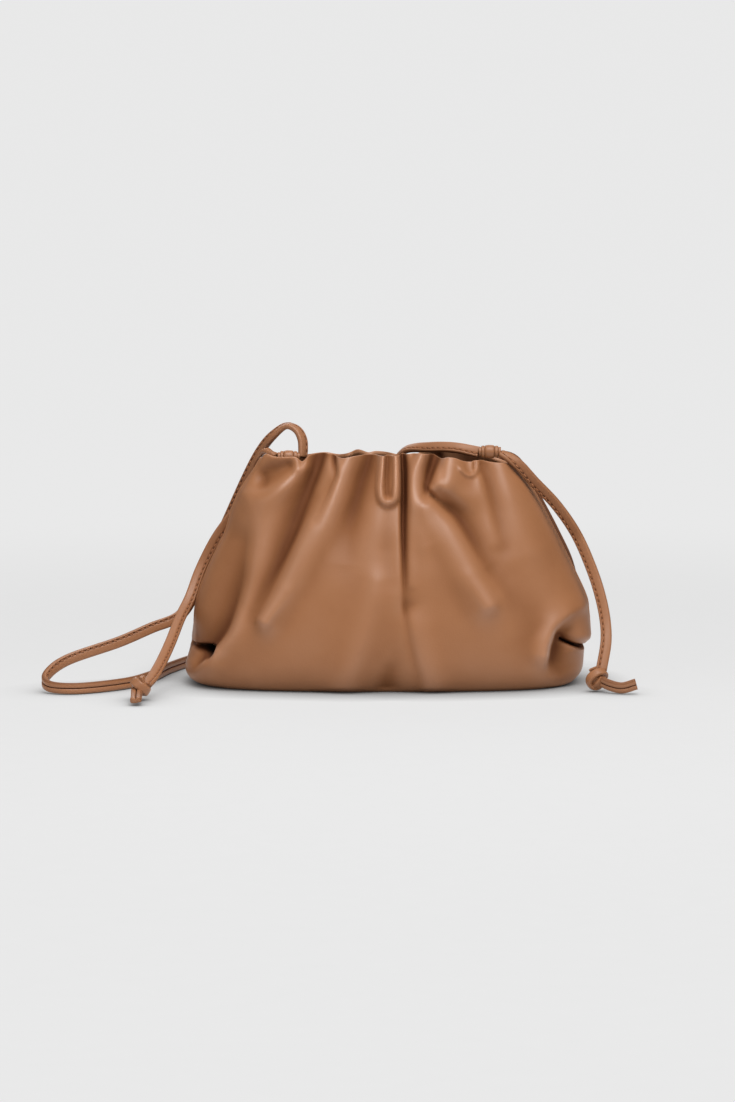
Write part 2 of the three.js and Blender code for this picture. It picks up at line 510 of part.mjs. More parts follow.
// Adds one named piece of leather.
function add(name, geometry) {
  const mesh = new THREE.Mesh(geometry, leather);
  mesh.name = name;
  bag.add(mesh);
  return mesh;
}

add("pouch_body", pouchGeometry());
add("shoulder_strap", strapGeometry(STRAP_ROUTE));
add("left_tail", strapGeometry(LEFT_TAIL_ROUTE));
add("right_tail", strapGeometry(RIGHT_TAIL_ROUTE));
for (const { name, x, y, z } of TIE_KNOTS) add(name, tieKnotGeometry()).position.set(x, y, z);
for (const knot of END_KNOTS) add(knot.name, endKnotGeometry(knot));

export default bag;
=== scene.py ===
"""Dresses the gathered leather pouch: its folds, strap, knots, stitches, leather and studio."""

from __future__ import annotations

import json
import logging
import math
from dataclasses import astuple, dataclass, replace
from enum import Enum

import bmesh
import bpy
import numpy as np
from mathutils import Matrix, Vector

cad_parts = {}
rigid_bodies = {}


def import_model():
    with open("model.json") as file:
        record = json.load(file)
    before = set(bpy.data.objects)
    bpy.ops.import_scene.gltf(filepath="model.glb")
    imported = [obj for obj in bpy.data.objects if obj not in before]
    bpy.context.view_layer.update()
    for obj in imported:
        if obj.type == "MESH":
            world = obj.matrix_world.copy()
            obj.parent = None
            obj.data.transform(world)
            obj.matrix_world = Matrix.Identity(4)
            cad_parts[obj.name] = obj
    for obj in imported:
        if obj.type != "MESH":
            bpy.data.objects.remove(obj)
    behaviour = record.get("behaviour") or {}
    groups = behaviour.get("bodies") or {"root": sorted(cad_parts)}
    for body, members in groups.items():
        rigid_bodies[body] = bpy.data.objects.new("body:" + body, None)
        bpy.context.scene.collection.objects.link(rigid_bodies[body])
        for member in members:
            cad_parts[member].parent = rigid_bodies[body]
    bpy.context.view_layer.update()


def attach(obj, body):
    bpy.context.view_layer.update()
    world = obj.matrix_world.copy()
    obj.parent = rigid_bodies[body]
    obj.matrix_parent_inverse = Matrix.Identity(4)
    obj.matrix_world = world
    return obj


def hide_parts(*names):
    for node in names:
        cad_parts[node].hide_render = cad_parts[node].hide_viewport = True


LOG = logging.getLogger("pouch")
MM = 0.001
Colour = tuple[float, float, float]
Spot = tuple[float, float, float]
Faces = list[tuple[int, ...]]


# Tables that shape the pouch and its strap, in millimetres


class Face(Enum):
    """The side of the pouch that a fold is drawn on."""

    FRONT = -1
    BACK = 1


class StrapSide(Enum):
    """The two broad sides of the folded strap."""

    STITCHED = 1
    GROOVED = -1


@dataclass(frozen=True)
class Section:
    """A level section of the pouch before it is folded."""

    height: float
    half_width: float
    half_depth: float
    squareness: float
    shift: float


@dataclass(frozen=True)
class Fold:
    """A stroke of raised or sunken leather along a spine on the view from the front.

    Left and right are as seen with the page turned so that the spine runs down. Widths and heights
    go from the spine's start to its end, high is outward, and cusp sharpens the crest or, below
    zero, rounds it.
    """

    name: str
    spine: tuple[tuple[float, float], ...]
    left0: float
    right0: float
    left1: float
    right1: float
    high0: float
    high1: float
    cusp: float = 0.0

    def segments(self, parts: int = 5) -> np.ndarray:
        """Runs a smooth curve through the spine.

        Args:
            parts: Pieces between one point of the spine and the next.

        Returns:
            Points along the curve, one a row.
        """
        points = np.array(self.spine, dtype=float)
        return points if len(points) == 2 else smooth_line(points, parts)


@dataclass(frozen=True)
class RimDip:
    """A place where the rim sags between two gathers, or rises where deep is below zero."""

    name: str
    x: float
    wide: float
    deep: float
    face: Face


@dataclass(frozen=True)
class RoutePoint:
    """A point of the strap with the direction across its flat."""

    x: float
    y: float
    z: float
    across: Spot


# Columns: height, half-width, half-depth, squareness, shift to the right
SECTIONS = (
    Section(0, 104, 44, 2.9, -2.4),
    Section(2.4, 109.5, 48.5, 2.9, -3),
    Section(8, 113.4, 52.5, 2.9, -2.8),
    Section(18, 113.6, 55, 2.8, -1.5),
    Section(34, 113.8, 55.5, 2.6, 0.6),
    Section(52, 109.6, 54, 2.3, 0.8),
    Section(70, 102, 50, 2.1, 0.4),
    Section(87, 93.6, 43.5, 2, 0),
    Section(102, 86.8, 35, 2, -1.1),
    Section(116, 78.8, 26, 2.1, -1.7),
    Section(128, 71, 17.5, 2.2, -2),
)

# Columns: name, spine of (x, z), left0, right0, left1, right1, high0, high1, cusp
FRONT_FOLDS = (
    Fold("corner dimple", ((-58, 122.6), (-65, 120), (-71, 116.5)), 5, 5.5, 6, 6, -6, -7),
    Fold(
        "notch ridge",
        ((-50, 124), (-55, 119), (-62, 113), (-70, 109.5), (-78, 107.5)),
        3, 6, 4, 9, 4.5, 2.5,
    ),
    Fold("first ridge", ((-52, 122), (-60, 106), (-70, 90), (-77, 73)), 9, 6, 14, 9, 3, 1.5, -0.3),
    Fold(
        "left valley",
        ((-38.5, 127), (-49, 106), (-58.7, 82), (-64.4, 68), (-73.5, 46)),
        11, 5, 13, 6, -14, -4,
    ),
    Fold("panel ridge", ((-35, 129), (-37, 121), (-41, 112)), 3.5, 3.5, 4, 4, 2.5, 1, -0.4),
    Fold(
        "step valley",
        ((-31.6, 130), (-30.4, 120.4), (-33.6, 113), (-36.6, 107), (-41, 97.5)),
        2.2, 1, 5, 3, -6.5, -1.5, 0.4,
    ),
    Fold(
        "long ridge",
        (
            (-22, 129), (-26.6, 121), (-31.3, 110), (-40, 95),
            (-47.6, 81.5), (-55, 68), (-64.5, 52), (-70, 42.5),
        ),
        5, 9, 7, 10, 7, 4, -0.5,
    ),
    Fold(
        "middle valley",
        ((-11.5, 129.5), (-14, 121), (-18, 110.5), (-23.5, 88), (-25, 72)),
        7, 5, 9, 8, -9, -1,
    ),
    Fold("centre pleat", ((0, 129), (-0.4, 105), (-1, 80)), 7, 7, 8, 7, 5, 0.5),
    Fold("centre crease", ((7.2, 129), (8, 112), (7.6, 90), (8.6, 48)), 1.1, 3.6, 1.5, 7, -12, -1.4, 0.7),
    Fold("lower crease", ((8.6, 48), (11.4, 28.5), (17.7, 2.5)), 1.6, 8, 3, 10, -1.8, -1, 0.5),
    Fold(
        "hook ridge",
        ((18.2, 128), (14.6, 120.5), (13.4, 110.5), (16, 98), (20, 84.5)),
        2.8, 4.5, 6, 8, 6, 1.5, -0.3,
    ),
    Fold("pocket", ((27, 129), (24.8, 122), (22.4, 115), (20.6, 108.5)), 4.5, 3, 3.5, 2.2, -12, -4, 0.3),
    Fold("flap", ((31, 128.5), (27.8, 121), (24, 113.4)), 2, 13, 2, 12, 5, 5.5),
    Fold("flap swell", ((34, 114), (46, 110)), 8, 9, 8, 9, 3, 2.5),
    Fold("beak edge", ((23.8, 112.6), (29, 108.6), (36.5, 105), (43, 101)), 1.6, 6, 5, 6, 3, 0.5),
    Fold(
        "beak valley",
        ((25, 108.5), (32, 103), (40.5, 95.5), (48.5, 82.5), (54.7, 71)),
        3, 6, 7, 9, -9.5, -2.5, 0.2,
    ),
    Fold(
        "diagonal ridge",
        ((22.5, 107), (28.4, 99.5), (37, 84.5), (45.5, 68), (55, 52)),
        9, 5, 11, 9, 4, 4.5, -0.4,
    ),
    Fold("narrow ridge", ((51, 118.5), (55, 103.5), (60, 84.5)), 3, 2.5, 5, 4, 2, 1),
    Fold(
        "right valley",
        ((53.4, 126), (56.6, 111.5), (60.4, 95.5), (63.6, 80)),
        4.5, 4.5, 6, 6, -3.2, -1.5,
    ),
    Fold("right panel", ((64, 126), (71, 105), (80.5, 80)), 7, 9, 10, 12, 4, 2.5),
    Fold(
        "left dent",
        ((-83, 80), (-84.8, 65), (-88.8, 48.5), (-93.8, 33.5), (-103.5, 20.8)),
        16, 7, 18, 2.4, -5, -9,
    ),
    Fold(
        "left lap",
        ((-80, 80), (-82, 65), (-85.8, 48.5), (-91, 33.5), (-100.6, 20)),
        3, 12, 2.4, 12, 1, 3,
    ),
    Fold("left notch", ((-114, 21.8), (-107, 22.4), (-102.5, 22.2)), 1.4, 1.2, 3.6, 1.4, -6, -16),
    Fold("left pad", ((-110, 13), (-101, 12)), 6, 5, 6, 5, 2, 1.5),
    Fold(
        "right arc",
        ((88, 21), (89.7, 30), (93.6, 37.5), (99.8, 43.5), (108, 46)),
        4, 7, 4.5, 8, 3.6, 2.4,
    ),
    Fold("right brow", ((99, 33), (105.5, 29), (113.5, 26.3)), 2, 6, 2, 5, 2, 3),
    Fold("right notch", ((99.6, 28.2), (105.6, 24.8), (113, 21.4)), 1.1, 0.7, 1, 0.8, -5, -11),
    Fold("right hollow", ((97, 30), (94, 21), (96.5, 12)), 5, 9, 6, 9, -6, -2.5),
    Fold("base dent", ((-2, 1), (0, 12)), 8, 8, 5, 5, -2.5, -1),
    Fold("left foot", ((-5, 62), (-16, 35), (-28, 3)), 10, 12, 12, 12, 2, 3),
    Fold("right foot", ((15, 34), (24, 2)), 8, 12, 8, 12, 2, 3),
)

# Small folds that only the fine leather shows
FINE_FOLDS = (
    Fold(
        "pleat loop",
        (
            (-3.6, 129.5), (-4.7, 120), (-5.3, 113), (-4, 107.6), (-0.8, 105.8),
            (2.6, 107.4), (3.7, 113), (3.9, 121), (3.7, 129.5),
        ),
        2.5, 2, 2.5, 2, 3.4, 3.4, -0.4,
    ),
    Fold("middle hollow", ((-17, 96), (-13, 74), (-9, 50)), 13, 13, 16, 15, -1.7, -1.2),
    Fold("flap crown", ((38, 128), (36, 121), (31, 115)), 6, 6, 5, 6, 1.6, 1.6),
    Fold("corner hollow", ((101, 31), (96.5, 26), (93, 17)), 4, 8, 4, 11, -2, -3.2),
    Fold("corner foot", ((108, 19), (102, 9)), 7, 7, 8, 8, -1.6, -1.2),
    Fold("corner arc", ((86, 18), (87.5, 28), (92, 36.5), (99, 42)), 3, 4, 3, 4, 1.2, 1),
    Fold("low right", ((66, 62), (76, 48), (82, 37)), 12, 12, 13, 9, -2.4, -2),
    Fold("diagonal tip", ((46, 66), (52, 56), (55.5, 50)), 6, 5, 5, 4, 0.8, 2.2, -0.3),
    Fold("pleat fall", ((1, 103), (0, 84), (0, 64)), 6, 6, 7, 7, -3.4, -1.8),
    Fold("ridge tip", ((-60, 58), (-66, 49), (-70.5, 41.5)), 4, 6, 3.5, 5, 1, 3.8, -0.5),
    Fold("foot wedge", ((3, 22), (2, 13), (1, 6)), 4, 4, 9, 9, -0.3, -1.3),
    Fold("left foot band", ((-7, 62), (-14, 36), (-23, 5)), 6, 6, 8, 7, 1, 1.8),
    Fold("right foot band", ((12.5, 44), (17, 24), (22, 5)), 3, 7, 5, 10, 0.8, 1.8),
    Fold("crease lip", ((10.2, 129), (11, 112), (10.8, 90), (11.6, 62)), 1.8, 3, 2, 4, 4, 1),
    Fold("pleat hollow", ((-1.2, 129.5), (-1.6, 119), (-1.4, 110)), 1.3, 3, 1.2, 2.2, -5.5, -2, 0.2),
    Fold(
        "lobe",
        ((40, 123.6), (43, 121.8), (45.4, 121), (48, 121.8), (49.8, 125), (49.6, 130)),
        1.8, 1.5, 1.8, 1.5, 2.2, 2.2,
    ),
    Fold("lobe edge", ((46.7, 130), (46.7, 123.5)), 2.5, 0.6, 2.5, 0.6, 2, 1),
)

# The back does not show in the photograph and has plain gathers
BACK_FOLDS = (
    Fold("first valley", ((-47, 128), (-63, 62)), 4.5, 4.5, 8, 8, -6, -2),
    Fold("first ridge", ((-35, 128), (-45, 48)), 5.5, 5.5, 9, 9, 4, 2),
    Fold("second valley", ((-23, 128), (-27, 66)), 4.5, 4.5, 7, 7, -6, -2),
    Fold("second ridge", ((-10, 128), (-11, 44)), 5.5, 5.5, 9, 9, 4, 2),
    Fold("third valley", ((3, 128), (6, 58)), 4.5, 4.5, 7, 7, -6, -2),
    Fold("third ridge", ((17, 128), (23, 46)), 5.5, 5.5, 9, 9, 4, 2),
    Fold("fourth valley", ((30, 128), (41, 64)), 4.5, 4.5, 8, 8, -6, -2),
    Fold("fourth ridge", ((43, 128), (57, 52)), 5.5, 5.5, 9, 9, 4, 2),
    Fold("right notch", ((98, 28), (114, 25)), 5, 2.5, 5, 2.5, -3, -2),
    Fold("left dent", ((-97, 34), (-88, 70)), 8, 8, 7, 7, -5, -2),
    Fold("right dent", ((98, 38), (90, 72)), 8, 8, 7, 7, -5, -2),
)

# Columns: name, x, wide, deep (a rise below zero), face
RIM_DIPS = (
    RimDip("front edge", 0, 52, -2.6, Face.FRONT),
    RimDip("back edge", -8, 45, -1.6, Face.BACK),
    RimDip("left curl", -70, 3.2, -1.6, Face.FRONT),
    RimDip("left notch", -49.6, 2.3, 2.8, Face.FRONT),
    RimDip("left panel", -38, 7, -1.2, Face.FRONT),
    RimDip("step", -26.5, 4.2, 1, Face.FRONT),
    RimDip("hook rise", 17, 7, -1.4, Face.FRONT),
    RimDip("beak dip", 29, 2.6, 1.6, Face.FRONT),
    RimDip("flap fall", 44, 6, 2.6, Face.FRONT),
    RimDip("tie seat", 57, 7, 2.2, Face.FRONT),
    RimDip("right corner", 69, 9, 3.2, Face.FRONT),
    RimDip("right seat", 69, 9, 3.2, Face.BACK),
    RimDip("strap seat", 11, 6.5, 3.2, Face.BACK),
    RimDip("back swell", 36, 15, -3.4, Face.BACK),
    RimDip("left seat", -71, 6, 2, Face.BACK),
)

# Small waves of the rim that only the fine leather shows
FINE_DIPS = (
    RimDip("back curl", -18.3, 3.6, -1.4, Face.BACK),
    RimDip("curl gap", -11.5, 2.6, 0.9, Face.BACK),
    RimDip("low back", -29, 5, 1.2, Face.BACK),
)

# Folds of the front so deep that no light reaches their insides
NOTCHES = ("left notch", "right notch")

# Columns: x, y, z, direction across the flat
# Behind the pouch, where it does not show, the strap takes the plain way round
STRAP_ROUTE = (
    RoutePoint(-49.2, -2.2, 128.2, (0.6, 0.9, 0.2)),
    RoutePoint(-48.9, -1.2, 132.2, (0.7, 0.8, 0.1)),
    RoutePoint(-49.4, 0.7, 138.5, (0.7, 0.8, 0.1)),
    RoutePoint(-52.4, 3.0, 143.6, (0.45, 0.9, 0.2)),
    RoutePoint(-58.0, 5.3, 145.6, (0, 1, 0.15)),
    RoutePoint(-66.0, 9.5, 140.0, (-0.4, 0.9, 0.35)),
    RoutePoint(-74.6, 17.0, 128.5, (-0.65, 0.7, 0.4)),
    RoutePoint(-92.5, 23.0, 90.0, (-1, 0.4, 0.5)),
    RoutePoint(-102.5, 20.0, 67.0, (-1, 0.3, 0.4)),
    RoutePoint(-111.5, 15.0, 48.0, (-0.8, 0.3, 0.6)),
    RoutePoint(-120.0, 4.5, 36.5, (-0.5, 0.2, 0.9)),
    RoutePoint(-135.5, -5.5, 31.0, (-0.25, 0.1, 1)),
    RoutePoint(-152.3, -13.5, 24.5, (-0.2, 0.1, 1)),
    RoutePoint(-182.8, -30.0, 15.5, (-0.1, 0.1, 1)),
    RoutePoint(-190.9, -38.5, 10.6, (0, 0.1, 1)),
    RoutePoint(-193.6, -45.5, 6.4, (0, 0.05, 1)),
    RoutePoint(-190.4, -51.5, 4.2, (0, 0, 1)),
    RoutePoint(-178.0, -55.0, 3.4, (0, 0.1, 1)),
    RoutePoint(-150.0, -36.0, 3.4, (-0.1, 0.1, 1)),
    RoutePoint(-135.5, -6.5, 3.4, (-0.1, 0, 1)),
    RoutePoint(-125.5, 32.0, 3.4, (-0.1, 0, 1)),
    RoutePoint(-105.0, 75.0, 3.4, (-0.1, 0.1, 1)),
    RoutePoint(-55.0, 97.0, 3.4, (0, 0.1, 1)),
    RoutePoint(14.0, 98.0, 3.4, (0, 1, 0.2)),
    RoutePoint(72.0, 82.0, 4.5, (-0.1, 0.4, -1)),
    RoutePoint(102.0, 58.0, 16.0, (-0.4, -0.3, -0.9)),
    RoutePoint(107.0, 39.0, 42.0, (-1, -0.4, -0.5)),
    RoutePoint(103.5, 24.5, 64.0, (-1, -0.4, -0.4)),
    RoutePoint(94.5, 17.5, 84.0, (-1, -0.3, -0.5)),
    RoutePoint(83.0, 11.5, 106.0, (-1, -0.4, -0.6)),
    RoutePoint(76.0, 9.0, 120.0, (-1, -0.5, -0.5)),
    RoutePoint(71.0, 11.0, 126.2, (-0.5, -0.8, -0.6)),
    RoutePoint(64.0, 14.0, 127.6, (-0.1, -0.4, -1)),
    RoutePoint(46.0, 24.4, 124.2, (0, 0, -1)),
    RoutePoint(14.0, 29.8, 120.8, (0, 0.1, -1)),
    RoutePoint(5.2, 27.0, 121.8, (0.3, -0.4, -1)),
    RoutePoint(9.2, 18.7, 130.4, (-0.3, -0.9, -0.4)),
    RoutePoint(24.0, 5.5, 133.4, (0, -0.9, -1)),
    RoutePoint(37.0, -1.8, 133.8, (0, -0.8, -1)),
    RoutePoint(50.8, -7.0, 131.7, (-0.1, -0.4, -1)),
)

LEFT_TAIL_ROUTE = (
    RoutePoint(-63.9, -1.8, 129.0, (0, -1, -0.2)),
    RoutePoint(-67.0, 0.2, 130.3, (0, -1, 0)),
    RoutePoint(-71.0, 6.0, 131.0, (-0.2, -1, 0)),
    RoutePoint(-74.8, 9.6, 125.5, (-0.8, -1, 0.1)),
    RoutePoint(-78.6, 12.8, 113.5, (-1, -0.9, 0.5)),
    RoutePoint(-86.5, 15.6, 98.0, (-1, -0.4, 0.5)),
    RoutePoint(-98.8, 13.5, 80.5, (-1, 0, 0.4)),
    RoutePoint(-107.8, 9.0, 63.0, (-1, 0.2, 0.4)),
    RoutePoint(-113.5, 0.5, 48.0, (-1, 0.1, 0.5)),
    RoutePoint(-118.6, -12.0, 38.0, (-1, 0, 0.4)),
    RoutePoint(-123.5, -30.0, 26.0, (-1, 0, 0.4)),
    RoutePoint(-128.0, -48.0, 17.0, (-1, 0, 0.3)),
    RoutePoint(-132.3, -63.0, 10.5, (-1, 0.1, 0.2)),
    RoutePoint(-135.2, -70.2, 7.7, (-1, 0.2, 0.1)),
)

RIGHT_TAIL_ROUTE = (
    RoutePoint(63.0, -7.6, 131.2, (0, 1, 0.3)),
    RoutePoint(67.5, -8.6, 129.0, (0.3, 0.8, 0.6)),
    RoutePoint(74.0, -9.0, 124.0, (0.6, 0.2, 0.7)),
    RoutePoint(82.0, -9.2, 115.2, (0.8, -0.3, 0.7)),
    RoutePoint(94.3, -9.8, 102.3, (1, -0.5, 0.7)),
    RoutePoint(105.7, -12.0, 86.0, (1, -0.5, 0.6)),
    RoutePoint(114.6, -17.0, 66.2, (1, -0.4, 0.4)),
    RoutePoint(119.4, -23.0, 51.0, (1, -0.3, 0.2)),
    RoutePoint(121.8, -29.0, 38.0, (1, -0.2, 0.1)),
    RoutePoint(122.0, -34.5, 27.0, (1, 0, 0)),
    RoutePoint(119.1, -41.4, 11.9, (1, 0, -0.1)),
)

LEFT_TIP_ROUTE = (
    RoutePoint(-140.0, -79.0, 5.8, (1, 0, 0.1)),
    RoutePoint(-139.6, -88.0, 4.2, (1, 0, 0.2)),
    RoutePoint(-139.4, -99.0, 3.4, (1, 0, 0.1)),
)

RIGHT_TIP_ROUTE = (
    RoutePoint(119.0, -47.2, 6.2, (0, -0.3, 1)),
    RoutePoint(123.5, -51.0, 4.6, (0, -0.3, 1)),
    RoutePoint(130.0, -54.0, 3.6, (0, -0.2, 1)),
    RoutePoint(138.0, -54.0, 5.8, (-0.2, -0.2, 1)),
)

# The turns of an overhand knot about its own middle, its tip leaving along +x
KNOT_LOOP = (
    (1.2, 0.6, 6.5),
    (0.9, 1.2, 3.0),
    (-0.3, 1.0, -1.5),
    (-2.2, 0.2, -4.2),
    (-5.0, -1.0, -2.6),
    (-5.2, -1.9, 1.2),
    (-2.4, -3.4, 3.6),
    (2.2, -3.4, 3.6),
    (5.2, -1.0, 1.6),
    (4.6, 2.6, -0.8),
    (0.6, 3.8, -2.4),
    (-3.0, 1.8, -2.8),
    (-1.6, -3.0, -2.6),
    (3.2, -3.6, -1.2),
)


# Small helpers


def smooth_rise(low: float, high: float, value: np.ndarray) -> np.ndarray:
    """Rises smoothly from 0 to 1.

    Args:
        low: The value at which the rise starts.
        high: The value at which it ends.
        value: The values to map.

    Returns:
        An array of the same shape, between 0 and 1.
    """
    t = np.clip((value - low) / (high - low), 0.0, 1.0)
    return t * t * (3.0 - 2.0 * t)


def unit(vectors: np.ndarray) -> np.ndarray:
    """Scales each vector of an array to length one."""
    return vectors / np.maximum(np.linalg.norm(vectors, axis=-1, keepdims=True), 1e-12)


def hermite(
    a: np.ndarray, b: np.ndarray, start: np.ndarray, end: np.ndarray, t: np.ndarray
) -> np.ndarray:
    """Runs a cubic curve from one point to another.

    Args:
        a: The first point.
        b: The last point.
        start: The slope at the first.
        end: The slope at the last.
        t: Places along the curve, from 0 to 1, as a column.

    Returns:
        One point a row.
    """
    return a + t * (start + t * (3 * (b - a) - 2 * start - end + t * (2 * (a - b) + start + end)))


def with_ends(points: np.ndarray) -> np.ndarray:
    """Adds a point straight on before the first and after the last."""
    return np.vstack([2 * points[0] - points[1], points, 2 * points[-1] - points[-2]])


def smooth_line(points: np.ndarray, parts: int) -> np.ndarray:
    """Runs a smooth curve through points.

    Args:
        points: The points, one a row.
        parts: Pieces between one point and the next.

    Returns:
        Points along the curve, one a row.
    """
    line = with_ends(points)
    t = np.linspace(0.0, 1.0, parts, endpoint=False)[:, None]
    fours = zip(line, line[1:], line[2:], line[3:])
    curves = [hermite(b, c, (c - a) / 2, (d - b) / 2, t) for a, b, c, d in fours]
    return np.vstack([*curves, points[-1]])


def distance_along(points: np.ndarray) -> np.ndarray:
    """Measures how far along a line each of its points lies."""
    return np.concatenate([[0.0], np.cumsum(np.linalg.norm(np.diff(points, axis=0), axis=1))])


def mesh_object(name: str, points: np.ndarray, faces: Faces) -> bpy.types.Object:
    """Makes a smooth-shaded mesh object in the scene.

    Args:
        name: The object's name.
        points: Vertices in millimetres, one a row.
        faces: Vertex numbers of each face, seen from outside anticlockwise.

    Returns:
        The new object.
    """
    mesh = bpy.data.meshes.new(name)
    mesh.from_pydata((points * MM).tolist(), [], faces)
    mesh.polygons.foreach_set("use_smooth", np.ones(len(mesh.polygons), dtype=bool))
    mesh.update()
    made = bpy.data.objects.new(name, mesh)
    bpy.context.scene.collection.objects.link(made)
    return made


def ring_faces(rings: int, count: int, first: int = 0) -> Faces:
    """Joins rings of equal size into a band of four-sided faces.

    Args:
        rings: How many rings there are.
        count: Points in each ring.
        first: The number of the first point.

    Returns:
        The faces' vertex numbers.
    """
    k = np.arange(count)
    after = (k + 1) % count
    faces: Faces = []
    for r in range(rings - 1):
        low = first + r * count
        high = low + count
        corners = np.stack([low + k, low + after, high + after, high + k], axis=1)
        faces.extend(tuple(face) for face in corners.tolist())
    return faces


def end_fans(rings: int, count: int) -> Faces:
    """Closes both ends of a band of rings with fans about two points that follow the rings.

    Args:
        rings: How many rings there are.
        count: Points in each ring.

    Returns:
        The faces' vertex numbers, from the first end and the last end in turn.
    """
    last = (rings - 1) * count
    centre = rings * count
    faces: Faces = []
    for k in range(count):
        after = (k + 1) % count
        faces.append((centre, after, k))
        faces.append((centre + 1, last + k, last + after))
    return faces


def paint_folds(made: bpy.types.Object, shades: np.ndarray) -> None:
    """Stores each point's fold tone, from about -1 in valleys to 1 on ridges, for the leather to read; on
    the pouch it carries painted shade in valleys and wear with painted highlight on ridges.
    """
    tone = made.data.attributes.new("fold_tone", "FLOAT", "POINT")
    tone.data.foreach_set("value", shades.astype(np.float32))


# Leather

# Places of the colour sockets on a mix node, whose names repeat
MIX_FIRST, MIX_SECOND, MIX_RESULT = 6, 7, 2

MOTTLE_SWAY = 0.5
RIDGE_SMOOTHNESS = 0.18
RIDGE_GLOSS = 1.2
# Tones below minus UNLIT_BELOW take UNLIT_COLOUR, the painted black shade of the notches
UNLIT_BELOW = 1.2
UNLIT_COLOUR = (0.01, 0.005, 0.003, 1.0)


class NodeSheet:
    """A shader node tree with short ways to add and join nodes."""

    def __init__(self, tree: bpy.types.NodeTree) -> None:
        """Keeps the tree that nodes are added to."""
        self.tree = tree

    def add(self, kind: str, **values: object) -> bpy.types.Node:
        """Adds a node and sets its own properties and its unlinked inputs.

        Args:
            kind: The node's type name.
            **values: Properties by name, or inputs by name with spaces as underscores.

        Returns:
            The new node.
        """
        node = self.tree.nodes.new(kind)
        for key, value in values.items():
            if hasattr(node, key):
                setattr(node, key, value)
            else:
                node.inputs[key.replace("_", " ")].default_value = value
        return node

    def join(self, start: bpy.types.NodeSocket, end: bpy.types.NodeSocket) -> None:
        """Links one socket to another."""
        self.tree.links.new(start, end)

    def math(self, operation: str, first: object, second: object) -> bpy.types.NodeSocket:
        """Adds a math node fed by sockets or plain numbers.

        Args:
            operation: The operation's name.
            first: A socket or a number.
            second: A socket or a number.

        Returns:
            The result's socket.
        """
        node = self.tree.nodes.new("ShaderNodeMath")
        node.operation = operation
        for slot, value in zip(node.inputs, (first, second)):
            if isinstance(value, bpy.types.NodeSocket):
                self.join(value, slot)
            else:
                slot.default_value = value
        return node.outputs[0]

    def clamp(self, value: bpy.types.NodeSocket) -> bpy.types.NodeSocket:
        """Holds a value between 0 and 1.

        Args:
            value: The value's socket.

        Returns:
            The result's socket.
        """
        node = self.add("ShaderNodeClamp")
        self.join(value, node.inputs["Value"])
        return node.outputs[0]

    def mix(self, share: bpy.types.NodeSocket, first: object, second: object) -> bpy.types.NodeSocket:
        """Mixes two colours.

        Args:
            share: How much of the second colour shows.
            first: A socket or a plain colour.
            second: A socket or a plain colour.

        Returns:
            The mixed colour's socket.
        """
        node = self.add("ShaderNodeMix", data_type="RGBA")
        self.join(share, node.inputs["Factor"])
        for slot, colour in ((MIX_FIRST, first), (MIX_SECOND, second)):
            if isinstance(colour, bpy.types.NodeSocket):
                self.join(colour, node.inputs[slot])
            else:
                node.inputs[slot].default_value = colour
        return node.outputs[MIX_RESULT]


